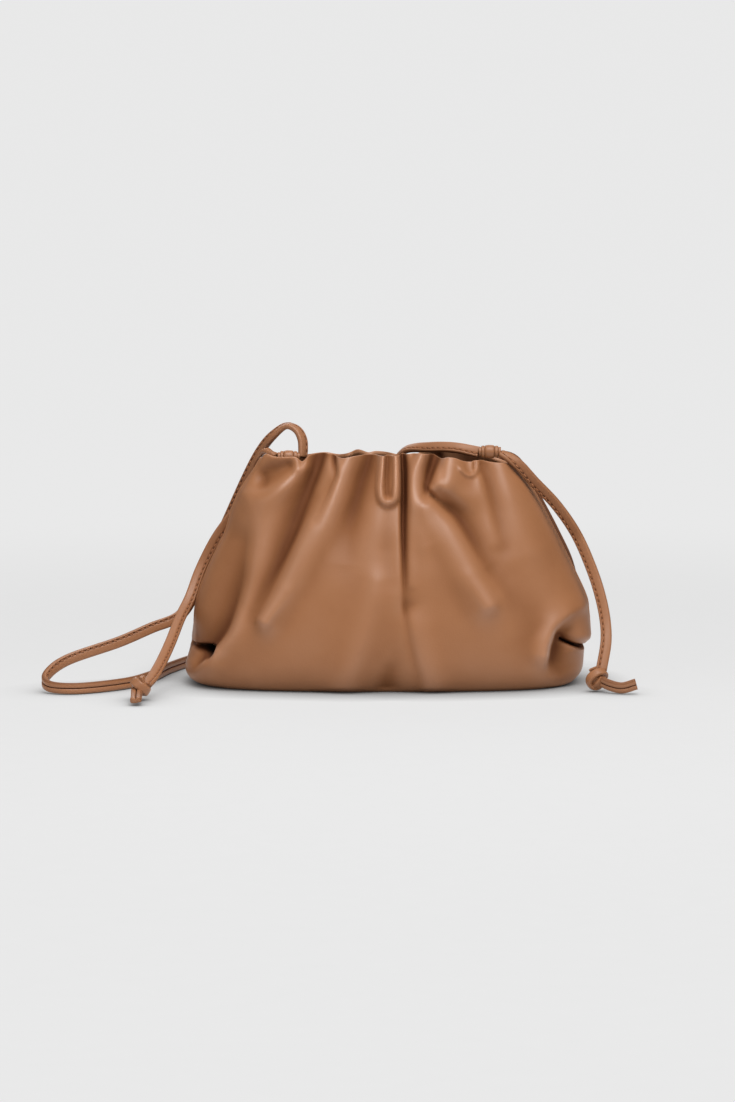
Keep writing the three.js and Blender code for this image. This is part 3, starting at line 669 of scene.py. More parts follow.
class LeatherGroups:
    """The shader groups that every leather shares, built once."""

    def __init__(self) -> None:
        """Builds both groups."""
        self.grain = self._grain()
        self.tone = self._tone()

    @staticmethod
    def _new_group(
        name: str, inputs: list[tuple[str, str, object]], outputs: list[tuple[str, str]]
    ) -> NodeSheet:
        """Starts a group with named sockets.

        Args:
            name: The group's name.
            inputs: Name, socket type and default of each input.
            outputs: Name and socket type of each output.

        Returns:
            The group's sheet, holding its input and output nodes.
        """
        tree = bpy.data.node_groups.new(name, "ShaderNodeTree")
        for label, kind, default in inputs:
            socket = tree.interface.new_socket(label, in_out="INPUT", socket_type=kind)
            if default is not None:
                socket.default_value = default
        for label, kind in outputs:
            tree.interface.new_socket(label, in_out="OUTPUT", socket_type=kind)
        sheet = NodeSheet(tree)
        sheet.add("NodeGroupInput")
        sheet.add("NodeGroupOutput")
        return sheet

    def _grain(self) -> bpy.types.NodeTree:
        """Builds the fine pebble and soft wrinkle of a drummed hide.

        Returns:
            The group, which puts out a height and a slow mottle.
        """
        inputs = [
            ("Place", "NodeSocketVector", None),
            ("Pebbles per Metre", "NodeSocketFloat", 900.0),
            ("Wrinkles per Metre", "NodeSocketFloat", 160.0),
            ("Wrinkle Share", "NodeSocketFloat", 0.5),
        ]
        outputs = [("Height", "NodeSocketFloat"), ("Mottle", "NodeSocketFloat")]
        sheet = self._new_group("LeatherGrain", inputs, outputs)
        enter = sheet.tree.nodes["Group Input"]
        leave = sheet.tree.nodes["Group Output"]
        pebble = sheet.add("ShaderNodeTexVoronoi", feature="SMOOTH_F1", Smoothness=0.6)
        wrinkle = sheet.add("ShaderNodeTexNoise", Detail=5.0, Roughness=0.62)
        mottle = sheet.add("ShaderNodeTexNoise", Detail=3.0, Scale=28.0)
        for node in (pebble, wrinkle, mottle):
            sheet.join(enter.outputs["Place"], node.inputs["Vector"])
        sheet.join(enter.outputs["Pebbles per Metre"], pebble.inputs["Scale"])
        sheet.join(enter.outputs["Wrinkles per Metre"], wrinkle.inputs["Scale"])
        folded = sheet.math("MULTIPLY", wrinkle.outputs["Fac"], enter.outputs["Wrinkle Share"])
        sheet.join(sheet.math("SUBTRACT", folded, pebble.outputs["Distance"]), leave.inputs["Height"])
        sheet.join(mottle.outputs["Fac"], leave.inputs["Mottle"])
        return sheet.tree

    def _tone(self) -> bpy.types.NodeTree:
        """Builds the colour of dyed leather with painted light: painted shade in folds, ridges paler from
        wear and painted highlight, and painted black shade in notches.

        Returns:
            The group, which puts out a colour, a roughness and a gloss.
        """
        # The deep colour is painted shade for valleys; the ridge colour is wear with painted highlight
        inputs = [
            ("Base", "NodeSocketColor", None),
            ("Deep", "NodeSocketColor", None),
            ("Wear and Highlight", "NodeSocketColor", None),
            ("Fold", "NodeSocketFloat", 0.0),
            ("Mottle", "NodeSocketFloat", 0.5),
            ("Roughness", "NodeSocketFloat", 0.5),
            ("Gloss", "NodeSocketFloat", 0.25),
        ]
        outputs = [
            ("Colour", "NodeSocketColor"),
            ("Roughness", "NodeSocketFloat"),
            ("Gloss", "NodeSocketFloat"),
        ]
        sheet = self._new_group("LeatherTone", inputs, outputs)
        enter = sheet.tree.nodes["Group Input"]
        leave = sheet.tree.nodes["Group Output"]
        sway = sheet.math("MULTIPLY", sheet.math("SUBTRACT", enter.outputs["Mottle"], 0.5), MOTTLE_SWAY)
        fold = sheet.math("ADD", enter.outputs["Fold"], sway)
        sunk = sheet.math("MULTIPLY", fold, -1.0)
        # Ridges turn paler, from wear and painted highlight
        paler = sheet.mix(sheet.clamp(fold), enter.outputs["Base"], enter.outputs["Wear and Highlight"])
        # Valleys turn dark, a painted shade
        valley_shaded = sheet.mix(sheet.clamp(sunk), paler, enter.outputs["Deep"])
        # Far below the valleys, in the notches, the leather turns black, a painted shade
        pit = sheet.clamp(sheet.math("SUBTRACT", sunk, UNLIT_BELOW))
        sheet.join(sheet.mix(pit, valley_shaded, UNLIT_COLOUR), leave.inputs["Colour"])
        smoother = sheet.math("MULTIPLY", fold, RIDGE_SMOOTHNESS)
        sheet.join(sheet.math("SUBTRACT", enter.outputs["Roughness"], smoother), leave.inputs["Roughness"])
        shinier = sheet.math("MULTIPLY", fold, RIDGE_GLOSS)
        gloss = sheet.clamp(sheet.math("ADD", enter.outputs["Gloss"], shinier))
        sheet.join(gloss, leave.inputs["Gloss"])
        return sheet.tree


@dataclass(frozen=True)
class LeatherFinish:
    """One leather: its colours, gloss and grain."""

    name: str
    base: Colour
    # deep is a painted shade colour for valleys; the colour after it, for ridges, is wear with painted
    # highlight
    deep: Colour
    wear_and_highlight: Colour
    roughness: float
    specular: float
    gloss: float
    pebbles_per_metre: float
    wrinkles_per_metre: float
    wrinkle_share: float
    relief: float
    relief_depth: float = 0.0004
    coat_roughness: float = 0.48

    def material(self, groups: LeatherGroups) -> bpy.types.Material:
        """Makes the material.

        Args:
            groups: The shared shader groups.

        Returns:
            The new material.
        """
        made = bpy.data.materials.new(self.name)
        made.use_nodes = True
        made.node_tree.nodes.clear()
        sheet = NodeSheet(made.node_tree)
        place = sheet.add("ShaderNodeTexCoord")
        fold = sheet.add("ShaderNodeAttribute", attribute_name="fold_tone")
        grain = sheet.add("ShaderNodeGroup", node_tree=groups.grain)
        grain.inputs["Pebbles per Metre"].default_value = self.pebbles_per_metre
        grain.inputs["Wrinkles per Metre"].default_value = self.wrinkles_per_metre
        grain.inputs["Wrinkle Share"].default_value = self.wrinkle_share
        tone = sheet.add("ShaderNodeGroup", node_tree=groups.tone)
        for label, colour in (("Base", self.base), ("Deep", self.deep), ("Wear and Highlight", self.wear_and_highlight)):
            tone.inputs[label].default_value = (*colour, 1.0)
        tone.inputs["Roughness"].default_value = self.roughness
        tone.inputs["Gloss"].default_value = self.gloss
        bump = sheet.add("ShaderNodeBump", Strength=self.relief, Distance=self.relief_depth)
        surface = sheet.add("ShaderNodeBsdfPrincipled")
        surface.inputs["Specular IOR Level"].default_value = self.specular
        surface.inputs["Coat Roughness"].default_value = self.coat_roughness
        out = sheet.add("ShaderNodeOutputMaterial")
        sheet.join(place.outputs["Object"], grain.inputs["Place"])
        sheet.join(grain.outputs["Mottle"], tone.inputs["Mottle"])
        sheet.join(fold.outputs["Fac"], tone.inputs["Fold"])
        sheet.join(tone.outputs["Colour"], surface.inputs["Base Color"])
        sheet.join(tone.outputs["Roughness"], surface.inputs["Roughness"])
        sheet.join(tone.outputs["Gloss"], surface.inputs["Coat Weight"])
        sheet.join(grain.outputs["Height"], bump.inputs["Height"])
        sheet.join(bump.outputs["Normal"], surface.inputs["Normal"])
        sheet.join(surface.outputs["BSDF"], out.inputs["Surface"])
        return made


POUCH_LEATHER = LeatherFinish(
    "pouch_leather",
    base=(0.312, 0.13, 0.053),
    deep=(0.12, 0.04, 0.015),
    wear_and_highlight=(0.41, 0.188, 0.093),
    roughness=0.56,
    specular=0.08,
    gloss=0.55,
    pebbles_per_metre=1100,
    wrinkles_per_metre=170,
    wrinkle_share=0.5,
    relief=0.12,
)
INSIDE_LEATHER = LeatherFinish(
    "pouch_inside",
    base=(0.26, 0.125, 0.062),
    deep=(0.13, 0.055, 0.025),
    wear_and_highlight=(0.3, 0.15, 0.08),
    roughness=0.75,
    specular=0.2,
    gloss=0.0,
    pebbles_per_metre=1500,
    wrinkles_per_metre=240,
    wrinkle_share=0.8,
    relief=0.2,
)
STRAP_LEATHER = LeatherFinish(
    "strap_leather",
    base=(0.302, 0.125, 0.051),
    deep=(0.1, 0.034, 0.013),
    wear_and_highlight=(0.42, 0.19, 0.09),
    roughness=0.5,
    specular=0.3,
    gloss=0.3,
    pebbles_per_metre=1400,
    wrinkles_per_metre=260,
    wrinkle_share=0.5,
    relief=0.12,
)
STITCH_THREAD = LeatherFinish(
    "stitch_thread",
    base=(0.33, 0.13, 0.055),
    deep=(0.15, 0.05, 0.02),
    wear_and_highlight=(0.42, 0.2, 0.1),
    roughness=0.6,
    specular=0.3,
    gloss=0.0,
    pebbles_per_metre=3000,
    wrinkles_per_metre=900,
    wrinkle_share=0.8,
    relief=0.2,
)


# Strap, its stitches and its ends

# Columns: place across from the seam, share of the channel's depth, share of a needle hole's depth
STITCH_CHANNEL = ((0.55, 0.15, 0), (0.28, 0.8, 0.5), (0, 1, 1), (-0.28, 0.8, 0.5), (-0.6, 0.1, 0))

# Columns: place across in half-widths of the groove, share of its depth
STRAP_GROOVE = (
    (-3.2, -0.1), (-1.7, 0.1), (-0.9, 0.45), (0, 1), (0.9, 0.45), (1.7, 0.1), (3.2, -0.1),
)


@dataclass(frozen=True)
class ShadedStretch:
    """A stretch of strap darkened with painted shade where the pouch shades it, from and to shares of its
    length.
    """

    start: float
    end: float
    tone: float


@dataclass
class Strap:
    """A flat strap, folded from one strip of leather, that follows a route."""

    name: str
    node: str
    route: tuple[RoutePoint, ...]
    width: float = 6.3
    thickness: float = 3.0
    corner: float = 1.15
    stitch_pitch: float = 3.5
    stitch_inset: float = 1.5
    stitch_length: float = 2.5
    thread: float = 0.36
    channel_deep: float = 0.2
    hole_deep: float = 0.6
    groove_deep: float = 0.9
    groove_wide: float = 0.5
    steps_per_stitch: int = 4
    side: StrapSide = StrapSide.STITCHED
    stitch_edge: int = 1
    channel_shift: float = 0.2
    face_crown: float = 0.08
    face_tone: float = 0.1
    edge_tone: float = -0.5
    channel_tone: float = -0.35
    groove_shade: float = -1.0
    hole_shade: float = 0.6
    thread_sunk: float = 0.05
    thread_end: float = 0.12
    thread_flat: float = 0.8
    curve_parts: int = 24
    # Stretches in the pouch's shade, painted darker as shade
    shaded_stretches: tuple[ShadedStretch, ...] = ()
    shade_fade: float = 0.04

    def centre_line(self) -> tuple[np.ndarray, np.ndarray]:
        """Runs a smooth curve through the route and samples it at even steps.

        Returns:
            The middle of the strap and the direction across it, one row a step.
        """
        points = np.array([(p.x, p.y, p.z) for p in self.route])
        across = unit(np.array([p.across for p in self.route]))
        points = with_ends(points)
        across = with_ends(across)
        fine = np.linspace(0.0, 1.0, self.curve_parts, endpoint=False)[:, None]
        line: list[np.ndarray] = []
        flat: list[np.ndarray] = []
        for i in range(len(self.route) - 1):
            p0, p1, p2, p3 = points[i : i + 4]
            d0, d1, d2 = (max(math.sqrt(np.linalg.norm(gap)), 1e-6) for gap in (p1 - p0, p2 - p1, p3 - p2))
            start = ((p1 - p0) / d0 - (p2 - p0) / (d0 + d1) + (p2 - p1) / d1) * d1
            end = ((p2 - p1) / d1 - (p3 - p1) / (d1 + d2) + (p3 - p2) / d2) * d1
            line.append(hermite(p1, p2, start, end, fine))
            a0, a1, a2, a3 = across[i : i + 4]
            flat.append(hermite(a1, a2, (a2 - a0) / 2, (a3 - a1) / 2, fine))
        dense = np.vstack([*line, points[-2]])
        wide = np.vstack([*flat, across[-2]])
        gone = distance_along(dense)
        steps = max(4, round(gone[-1] / self.stitch_pitch * self.steps_per_stitch))
        even = np.linspace(0.0, gone[-1], steps + 1)
        middle = np.stack([np.interp(even, gone, dense[:, k]) for k in range(3)], axis=1)
        turned = np.stack([np.interp(even, gone, wide[:, k]) for k in range(3)], axis=1)
        return middle, turned

    def frames(self) -> tuple[np.ndarray, np.ndarray, np.ndarray, np.ndarray]:
        """Works out the strap's directions at each step.

        Returns:
            The middle, and the directions ahead, across the flat and through the thickness.
        """
        middle, turned = self.centre_line()
        ahead = unit(np.gradient(middle, axis=0))
        wide = unit(turned - ahead * np.sum(turned * ahead, axis=1, keepdims=True))
        return middle, ahead, wide, np.cross(ahead, wide) * self.side.value

    def length(self) -> float:
        """Measures the strap along its middle, in millimetres."""
        middle, _ = self.centre_line()
        return float(distance_along(middle)[-1])

    def path(self) -> list[list[float]]:
        """Lists the strap's middle in metres."""
        middle, _ = self.centre_line()
        return (middle * MM).tolist()

    def corner_points(self, start: float, tone: float, skip: int = 1) -> list[tuple[float, ...]]:
        """Rounds one corner of the section.

        Args:
            start: The angle at which the corner starts, in degrees from the stitched edge.
            tone: The leather's tone there.
            skip: Points left out at the start.

        Returns:
            Places across and through, no depth at a needle hole, and the tone, one row a point.
        """
        middle = math.radians(start + 45.0)
        x = math.copysign(self.width / 2 - self.corner, math.cos(middle))
        y = math.copysign(self.thickness / 2 - self.corner, math.sin(middle))
        turns = np.radians(np.linspace(start, start + 90.0, 5)[skip:])
        return [(x + self.corner * math.cos(a), y + self.corner * math.sin(a), 0, tone) for a in turns]

    def profile(self) -> tuple[np.ndarray, np.ndarray, np.ndarray]:
        """Draws the strap's section: a stitched face with a channel and a face with a deep groove.

        Returns:
            Points across and through the section, how far each sinks at a needle hole, and its tone.
        """
        w = self.width / 2
        t = self.thickness / 2
        seam = w - self.stitch_inset
        points = self.corner_points(-90.0, self.edge_tone)
        points += self.corner_points(0.0, self.face_tone)
        for off, sink, hole in STITCH_CHANNEL:
            across = seam + off - self.channel_shift
            points.append((across, t - sink * self.channel_deep, hole, self.channel_tone * sink))
        for share in (0.1, -0.25):
            points.append((w * share, t + self.face_crown, 0, self.face_tone))
        points += self.corner_points(90.0, self.face_tone, skip=0)
        points += self.corner_points(180.0, 0.0)
        for off, sink in STRAP_GROOVE:
            # The deep groove is painted dark, as shade
            tone = self.groove_shade if sink > 0.4 else self.face_tone
            points.append((off * self.groove_wide / 2, -t + sink * self.groove_deep, 0, tone))
        points.append((w - self.corner, -t, 0, 0))
        table = np.array(points)
        table[:, 0] *= self.stitch_edge
        return table[:, :2], table[:, 2], table[:, 3]

    def stretch_shade(self, steps: int) -> np.ndarray:
        """Paints shade on the stretches of strap that lie in the pouch's shade.

        Args:
            steps: How many steps the strap has.

        Returns:
            What the painted shade adds to the tone, one value a step.
        """
        share = np.linspace(0.0, 1.0, steps)
        tone = np.zeros(steps)
        for patch in self.shaded_stretches:
            begun = np.clip((share - patch.start) / self.shade_fade + 0.5, 0.0, 1.0)
            left = np.clip((patch.end - share) / self.shade_fade + 0.5, 0.0, 1.0)
            tone += patch.tone * begun * left
        return tone

    def build(self, leather: bpy.types.Material) -> bpy.types.Object:
        """Sweeps the section along the route.

        Args:
            leather: The strap's material.

        Returns:
            The strap's object.
        """
        middle, _, wide, thin = self.frames()
        section, hole, tone = self.profile()
        count = len(section)
        steps = len(middle)
        beat = (np.arange(steps) % self.steps_per_stitch == 0).astype(float)
        through = section[None, :, 1] - beat[:, None] * hole[None, :] * self.hole_deep
        points = (
            middle[:, None, :]
            + wide[:, None, :] * section[None, :, :1]
            + thin[:, None, :] * through[:, :, None]
        )
        faces = ring_faces(steps, count) + end_fans(steps, count)
        if self.side.value * self.stitch_edge < 0:
            faces = [tuple(reversed(face)) for face in faces]
        ends = np.vstack([points[0].mean(axis=0), points[-1].mean(axis=0)])
        made = mesh_object(self.name, np.vstack([points.reshape(-1, 3), ends]), faces)
        shades = np.concatenate([np.tile(tone, steps), [0.0, 0.0]])
        # Needle holes are painted darker, as shade
        shades[:-2] -= np.repeat(beat, count) * np.tile(hole, steps) * self.hole_shade
        # Painted shade on the stretches that lie in the pouch's shade
        shades[:-2] += np.repeat(self.stretch_shade(steps), count)
        paint_folds(made, shades)
        made.data.materials.append(leather)
        return made

    def stitches(self, thread: bpy.types.Material) -> bpy.types.Object:
        """Lays a thread from each needle hole to the next.

        Args:
            thread: The thread's material.

        Returns:
            One object with every stitch of this strap.
        """
        middle, ahead, wide, thin = self.frames()
        inset = (self.width / 2 - self.stitch_inset - self.channel_shift) * self.stitch_edge
        lift = self.thickness / 2 - self.channel_deep - self.thread_sunk
        rings = 5
        sides = 8
        points: list[np.ndarray] = []
        faces: Faces = []
        turn = np.linspace(0.0, 2 * math.pi, sides, endpoint=False)
        for k in range(self.steps_per_stitch // 2, len(middle), self.steps_per_stitch):
            seat = middle[k] + wide[k] * inset + thin[k] * lift
            first = sum(len(block) for block in points)
            block: list[np.ndarray] = []
            for share in np.linspace(-1.0, 1.0, rings):
                swell = self.thread * math.sqrt(max(self.thread_end, 1.0 - share**4))
                rise = thin[k] * self.thread * self.thread_flat * (1.0 - share**2)
                along = ahead[k] * share * self.stitch_length / 2
                across = np.cos(turn)[:, None] * wide[k]
                up = self.thread_flat * np.sin(turn)[:, None] * thin[k]
                block.append(seat + along + rise + (across + up) * swell)
            points.append(np.vstack(block))
            faces.extend(ring_faces(rings, sides, first))
            faces.append(tuple(range(first + sides - 1, first - 1, -1)))
            faces.append(tuple(range(first + (rings - 1) * sides, first + rings * sides)))
        made = mesh_object(f"{self.name}_stitches", np.vstack(points), faces)
        made.data.materials.append(thread)
        return made


@dataclass
class KnottedStrap:
    """A length of strap with its stitches."""

    strap: Strap
    far_end: str

    def dress(
        self, leather: bpy.types.Material, thread: bpy.types.Material
    ) -> None:
        """Args:
            leather: The strap's material.
            thread: The thread's material.
        """
        band = self.strap.build(leather)
        seam = self.strap.stitches(thread)
        for piece in (band, seam):
            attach(piece, "root")
        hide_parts(self.strap.node)
        start = self.strap.path()[0]
        self.strap.length() * MM
        self.strap.path()
        LOG.info("%s: %.0f mm of strap", self.strap.name, self.strap.length())


# Knots


@dataclass
class TieKnot:
    """The barrel knot at a corner of the mouth: one broad wrap between two narrow collars."""

    node: str
    x: float
    y: float
    z: float
    radius: float = 3.9
    length: float = 9.6
    neck: float = 1.5
    sides: int = 48
    waist: float = 0.62
    roundness: float = 0.35
    groove_shade: float = -0.9
    oval: float = 0.03
    oval_turn: float = 0.6
    three_sided: float = 0.02

    def build(self, leather: bpy.types.Material) -> bpy.types.Object:
        """Turns the knot's profile round its axis and dresses it.

        Args:
            leather: The strap's material.

        Returns:
            The knot's object.
        """
        half = self.length / 2
        neck = half + self.neck
        wraps = (
            (-neck, -half, 0.7),
            (-half, -half * 0.6, 0.9),
            (-half * 0.6, half * 0.56, 1.0),
            (half * 0.56, half, 0.88),
            (half, neck, 0.7),
        )
        along: list[float] = []
        radii: list[float] = []
        tone: list[float] = []
        for start, end, swell in wraps:
            for angle in np.linspace(0.0, math.pi, 13):
                share = math.sin(angle) ** self.roundness
                along.append((start + end) / 2 - math.cos(angle) * (end - start) / 2)
                radii.append(self.radius * (self.waist + (swell - self.waist) * share))
                # Grooves between the wraps are painted dark, as shade
                tone.append(self.groove_shade + share)
        turn = np.linspace(0.0, 2 * math.pi, self.sides, endpoint=False)
        uneven = 1.0 + self.oval * np.sin(2 * turn + self.oval_turn) + self.three_sided * np.sin(3 * turn)
        rings = [
            np.stack([np.full(self.sides, a), r * uneven * np.cos(turn), r * uneven * np.sin(turn)], axis=1)
            for a, r in zip(along, radii)
        ]
        centre = np.array([self.x, self.y, self.z])
        points = np.vstack([*rings, [[-neck, 0, 0], [neck, 0, 0]]]) + centre
        faces = ring_faces(len(rings), self.sides) + end_fans(len(rings), self.sides)
        made = mesh_object(self.node, points, faces)
        paint_folds(made, np.concatenate([np.repeat(tone, self.sides), [self.groove_shade] * 2]))
        made.data.materials.append(leather)
        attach(made, "root")
        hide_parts(self.node)
        LOG.info("%s: barrel of %.1f mm", self.node, self.length)
        return made


@dataclass
class EndKnot:
    """An overhand knot near the end of a tail, with the short tip that comes out of it."""

    node: str
    x: float
    y: float
    z: float
    turn: float
    tip: Strap
    tilt: float = 0.0
    heart: Spot = (4.8, 3.9, 4.1)
    band_wide: float = 5.0
    band_thick: float = 2.3
    band_round: float = 0.6
    loop_parts: int = 10
    voxel: float = 0.22
    sides: int = 16

    def _turns(self) -> tuple[np.ndarray, Faces]:
        """Sweeps a flat band along the knot, its flat lying round the knot's middle.

        Returns:
            The band's points and faces.
        """
        middle = smooth_line(np.array(KNOT_LOOP), self.loop_parts)
        ahead = unit(np.gradient(middle, axis=0))
        out = unit(middle - ahead * np.sum(middle * ahead, axis=1, keepdims=True))
        flat = np.cross(ahead, out)
        around = np.linspace(0.0, 2 * math.pi, self.sides, endpoint=False)
        across = np.cos(around)
        up = np.sin(around)
        edge = np.sign(across) * np.abs(across) ** self.band_round * self.band_wide / 2
        rise = np.sign(up) * np.abs(up) ** self.band_round * self.band_thick / 2
        rings = middle[:, None] + flat[:, None] * edge[None, :, None] + out[:, None] * rise[None, :, None]
        faces = [tuple(reversed(face)) for face in ring_faces(len(middle), self.sides)]
        last = (len(middle) - 1) * self.sides
        faces.append(tuple(range(self.sides)))
        faces.append(tuple(range(last + self.sides - 1, last - 1, -1)))
        heart = bmesh.new()
        bmesh.ops.create_icosphere(heart, subdivisions=3, radius=1.0)
        core = np.array([tuple(spot.co) for spot in heart.verts]) * np.array(self.heart)
        first = len(middle) * self.sides
        faces.extend(tuple(first + corner.index for corner in face.verts) for face in heart.faces)
        heart.free()
        rings = np.vstack([rings.reshape(-1, 3), core])
        lean = math.radians(self.tilt)
        nod = np.array([
            [math.cos(lean), 0, math.sin(lean)],
            [0, 1, 0],
            [-math.sin(lean), 0, math.cos(lean)],
        ])
        swing = math.radians(self.turn)
        spin = np.array([
            [math.cos(swing), -math.sin(swing), 0],
            [math.sin(swing), math.cos(swing), 0],
            [0, 0, 1],
        ])
        return rings @ spin.T @ nod.T + np.array([self.x, self.y, self.z]), faces

    def build(self, leather: bpy.types.Material) -> list[bpy.types.Object]:
        """Ties the band, fuses its turns into one skin and adds the tip.

        Args:
            leather: The strap's material.

        Returns:
            The knot and its tip.
        """
        points, faces = self._turns()
        made = mesh_object(self.node, points, faces)
        fuse = made.modifiers.new("fuse", "REMESH")
        fuse.mode = "VOXEL"
        fuse.voxel_size = self.voxel * MM
        settle = made.modifiers.new("settle", "SMOOTH")
        settle.factor = 0.5
        settle.iterations = 2
        fused = bpy.data.meshes.new_from_object(made.evaluated_get(bpy.context.evaluated_depsgraph_get()))
        made.modifiers.clear()
        made.data = fused
        fused.polygons.foreach_set("use_smooth", np.ones(len(fused.polygons), dtype=bool))
        made.data.materials.clear()
        made.data.materials.append(leather)
        tip = self.tip.build(leather)
        for piece in (made, tip):
            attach(piece, "root")
            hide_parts(self.node)
        LOG.info("%s: knot and tip of %.0f mm", self.node, self.tip.length())
        return [made, tip]


# Pouch


@dataclass
class PouchBody:
    """The gathered leather shell: sections lofted from base to rim, folded and given thickness."""

    wall: float = 2.2
    rim_roll: float = 1.0
    front_columns: int = 450
    back_columns: int = 110
    outer_rows: int = 148
    inner_rows: int = 20
    hem_rows: int = 4
    view_share: float = 0.5
    seam_high: float = 0.9
    seam_wide: float = 1.3
    fold_floor: float = 4.0
    seam_blend: float = 0.3
    dip_reach: float = 22.0
    tone_reach: int = 9
    notch_height: float = 23.0
    notch_reach: float = 9.0
    notch_gain: float = 0.9
    # notch_dark and notch_tone set the painted black shade inside the notches
    notch_dark: float = 6.0
    notch_room: float = 17.0
    notch_tone: float = 1.3
    # The hem is painted paler than its fold tone, a painted highlight along the rim
    hem_highlight: float = 0.7
    turned_rows: int = 4
    # The turned-in band inside the rim is painted at the palest tone, a painted light
    turned_light: float = 1.0
    seam_from: float = 20.0
    seam_to: float = 45.0
    ridge_range: float = 4.2
    valley_range: float = 18.0
    blur_rounds: int = 3
    cusp_soft: float = 0.1
    inner_crowding: float = 1.5
    slope_step: float = 0.02
    fine_rows: int = 20
    fine_columns: int = 1440

    def rows(self) -> np.ndarray:
        """Spaces places up the middle of the front, closer together where the corners are notched.

        Returns:
            Places along the table of sections, from the base to the rim.
        """
        fine = np.linspace(0.0, len(SECTIONS) - 1, self.fine_rows * len(SECTIONS))
        table = self.section_at(fine)
        near = np.exp(-(((table[1:, 0] - self.notch_height) / self.notch_reach) ** 2))
        steps = np.hypot(np.diff(table[:, 0]), np.diff(table[:, 2])) * (1.0 + self.notch_gain * near)
        gone = np.concatenate([[0.0], np.cumsum(steps)])
        return np.interp(np.linspace(0.0, gone[-1], self.outer_rows + 1), gone, fine)

    def columns(self, place: np.ndarray) -> np.ndarray:
        """Spaces points evenly round the front and round the back of each section.

        Args:
            place: Places up the pouch.

        Returns:
            Angles, one row a place and one column a point.
        """
        fine = np.linspace(-math.pi, math.pi, self.fine_columns + 1)
        points, _, _ = self.shell(place, np.tile(fine, (len(place), 1)))
        steps = np.linalg.norm(np.diff(points[..., :2], axis=1), axis=-1)
        half = len(fine) // 2
        rows = []
        for step in steps:
            row = []
            for first, count in ((0, self.front_columns), (half, self.back_columns)):
                gone = np.concatenate([[0.0], np.cumsum(step[first : first + half])])
                even = gone[-1] * np.arange(count) / count
                row.append(np.interp(even, gone, fine[first : first + half + 1]))
            rows.append(np.concatenate(row))
        return np.array(rows)

    @staticmethod
    def section_at(place: np.ndarray) -> np.ndarray:
        """Runs a smooth curve through the sections.

        Args:
            place: Places along the table, 0 for its first row.

        Returns:
            The table's columns, one row a place.
        """
        table = np.array([astuple(section) for section in SECTIONS], dtype=float)
        last = len(table) - 1
        i = np.minimum(np.floor(place).astype(int), last - 1)
        t = (place - i)[:, None]
        a, b, c, d = (table[np.clip(i + k, 0, last)] for k in (-1, 0, 1, 2))
        return hermite(b, c, (c - a) / 2, (d - b) / 2, t)

    def fold_height(self, fold: Fold, x: np.ndarray, z: np.ndarray) -> np.ndarray:
        """Measures one fold over the leather.

        Args:
            fold: The fold's stroke.
            x: Places across the view from the front.
            z: Heights.

        Returns:
            How far the fold moves the leather outward at each place.
        """
        line = fold.segments()
        steps = np.diff(line, axis=0)
        lengths = np.hypot(steps[:, 0], steps[:, 1])
        gone = np.concatenate([[0.0], np.cumsum(lengths)])
        nearest = np.full(x.shape, np.inf)
        share = np.zeros_like(x)
        beside = np.zeros_like(x)
        past = np.zeros_like(x)
        for k, ((dx, dz), length) in enumerate(zip(steps / lengths[:, None], lengths)):
            off_x = x - line[k, 0]
            off_z = z - line[k, 1]
            along = off_x * dx + off_z * dz
            held = np.clip(along, 0.0, length)
            side = off_z * dx - off_x * dz
            away = side**2 + (along - held) ** 2
            closer = away < nearest
            nearest = np.where(closer, away, nearest)
            share = np.where(closer, (gone[k] + held) / gone[-1], share)
            beside = np.where(closer, side, beside)
            past = np.where(closer, along - held, past)
        left = fold.left0 + (fold.left1 - fold.left0) * share
        right = fold.right0 + (fold.right1 - fold.right0) * share
        reach = np.abs(beside / np.where(beside < 0, left, right))
        soft = reach**2
        sharp = np.hypot(reach, self.cusp_soft) - self.cusp_soft
        edge = sharp if fold.cusp > 0 else reach**4
        fall = soft + abs(fold.cusp) * (edge - soft) + (2 * past / (left + right)) ** 2
        return (fold.high0 + (fold.high1 - fold.high0) * share) * np.exp(-fall)

    def shell(self, place: np.ndarray, angle: np.ndarray) -> tuple[np.ndarray, np.ndarray, np.ndarray]:
        """Lays out the unfolded shell.

        Args:
            place: Places up the pouch, one a row.
            angle: Angles round it, a row for each place.

        Returns:
            Points, level outward directions, and depth shares from -1 in front to 1 behind.
        """
        table = self.section_at(place).T
        height, half_width, half_depth, squareness, shift = (column[:, None] for column in table)
        reach = np.abs(np.cos(angle)) ** squareness + np.abs(np.sin(angle)) ** squareness
        reach **= 1 / squareness
        across = np.cos(angle) / reach
        deep = np.sin(angle) / reach
        points = np.stack([shift + half_width * across, half_depth * deep, height + 0 * across], axis=-1)
        power = squareness - 1
        level = np.stack(
            [
                np.sign(across) * np.abs(across) ** power / half_width,
                np.sign(deep) * np.abs(deep) ** power / half_depth,
                np.zeros_like(across),
            ],
            axis=-1,
        )
        return points, unit(level), deep

    def roomy(self, fold: Fold) -> Fold:
        """Widens a notch, so that the inner wall stands clear of it.

        Args:
            fold: Any fold of the front.

        Returns:
            The same fold, or a wider one if it is a notch.
        """
        if fold.name not in NOTCHES:
            return fold
        left = max(fold.left1, self.notch_room)
        right = max(fold.right1, self.notch_room)
        return replace(fold, left0=left, right0=right, left1=left, right1=right)

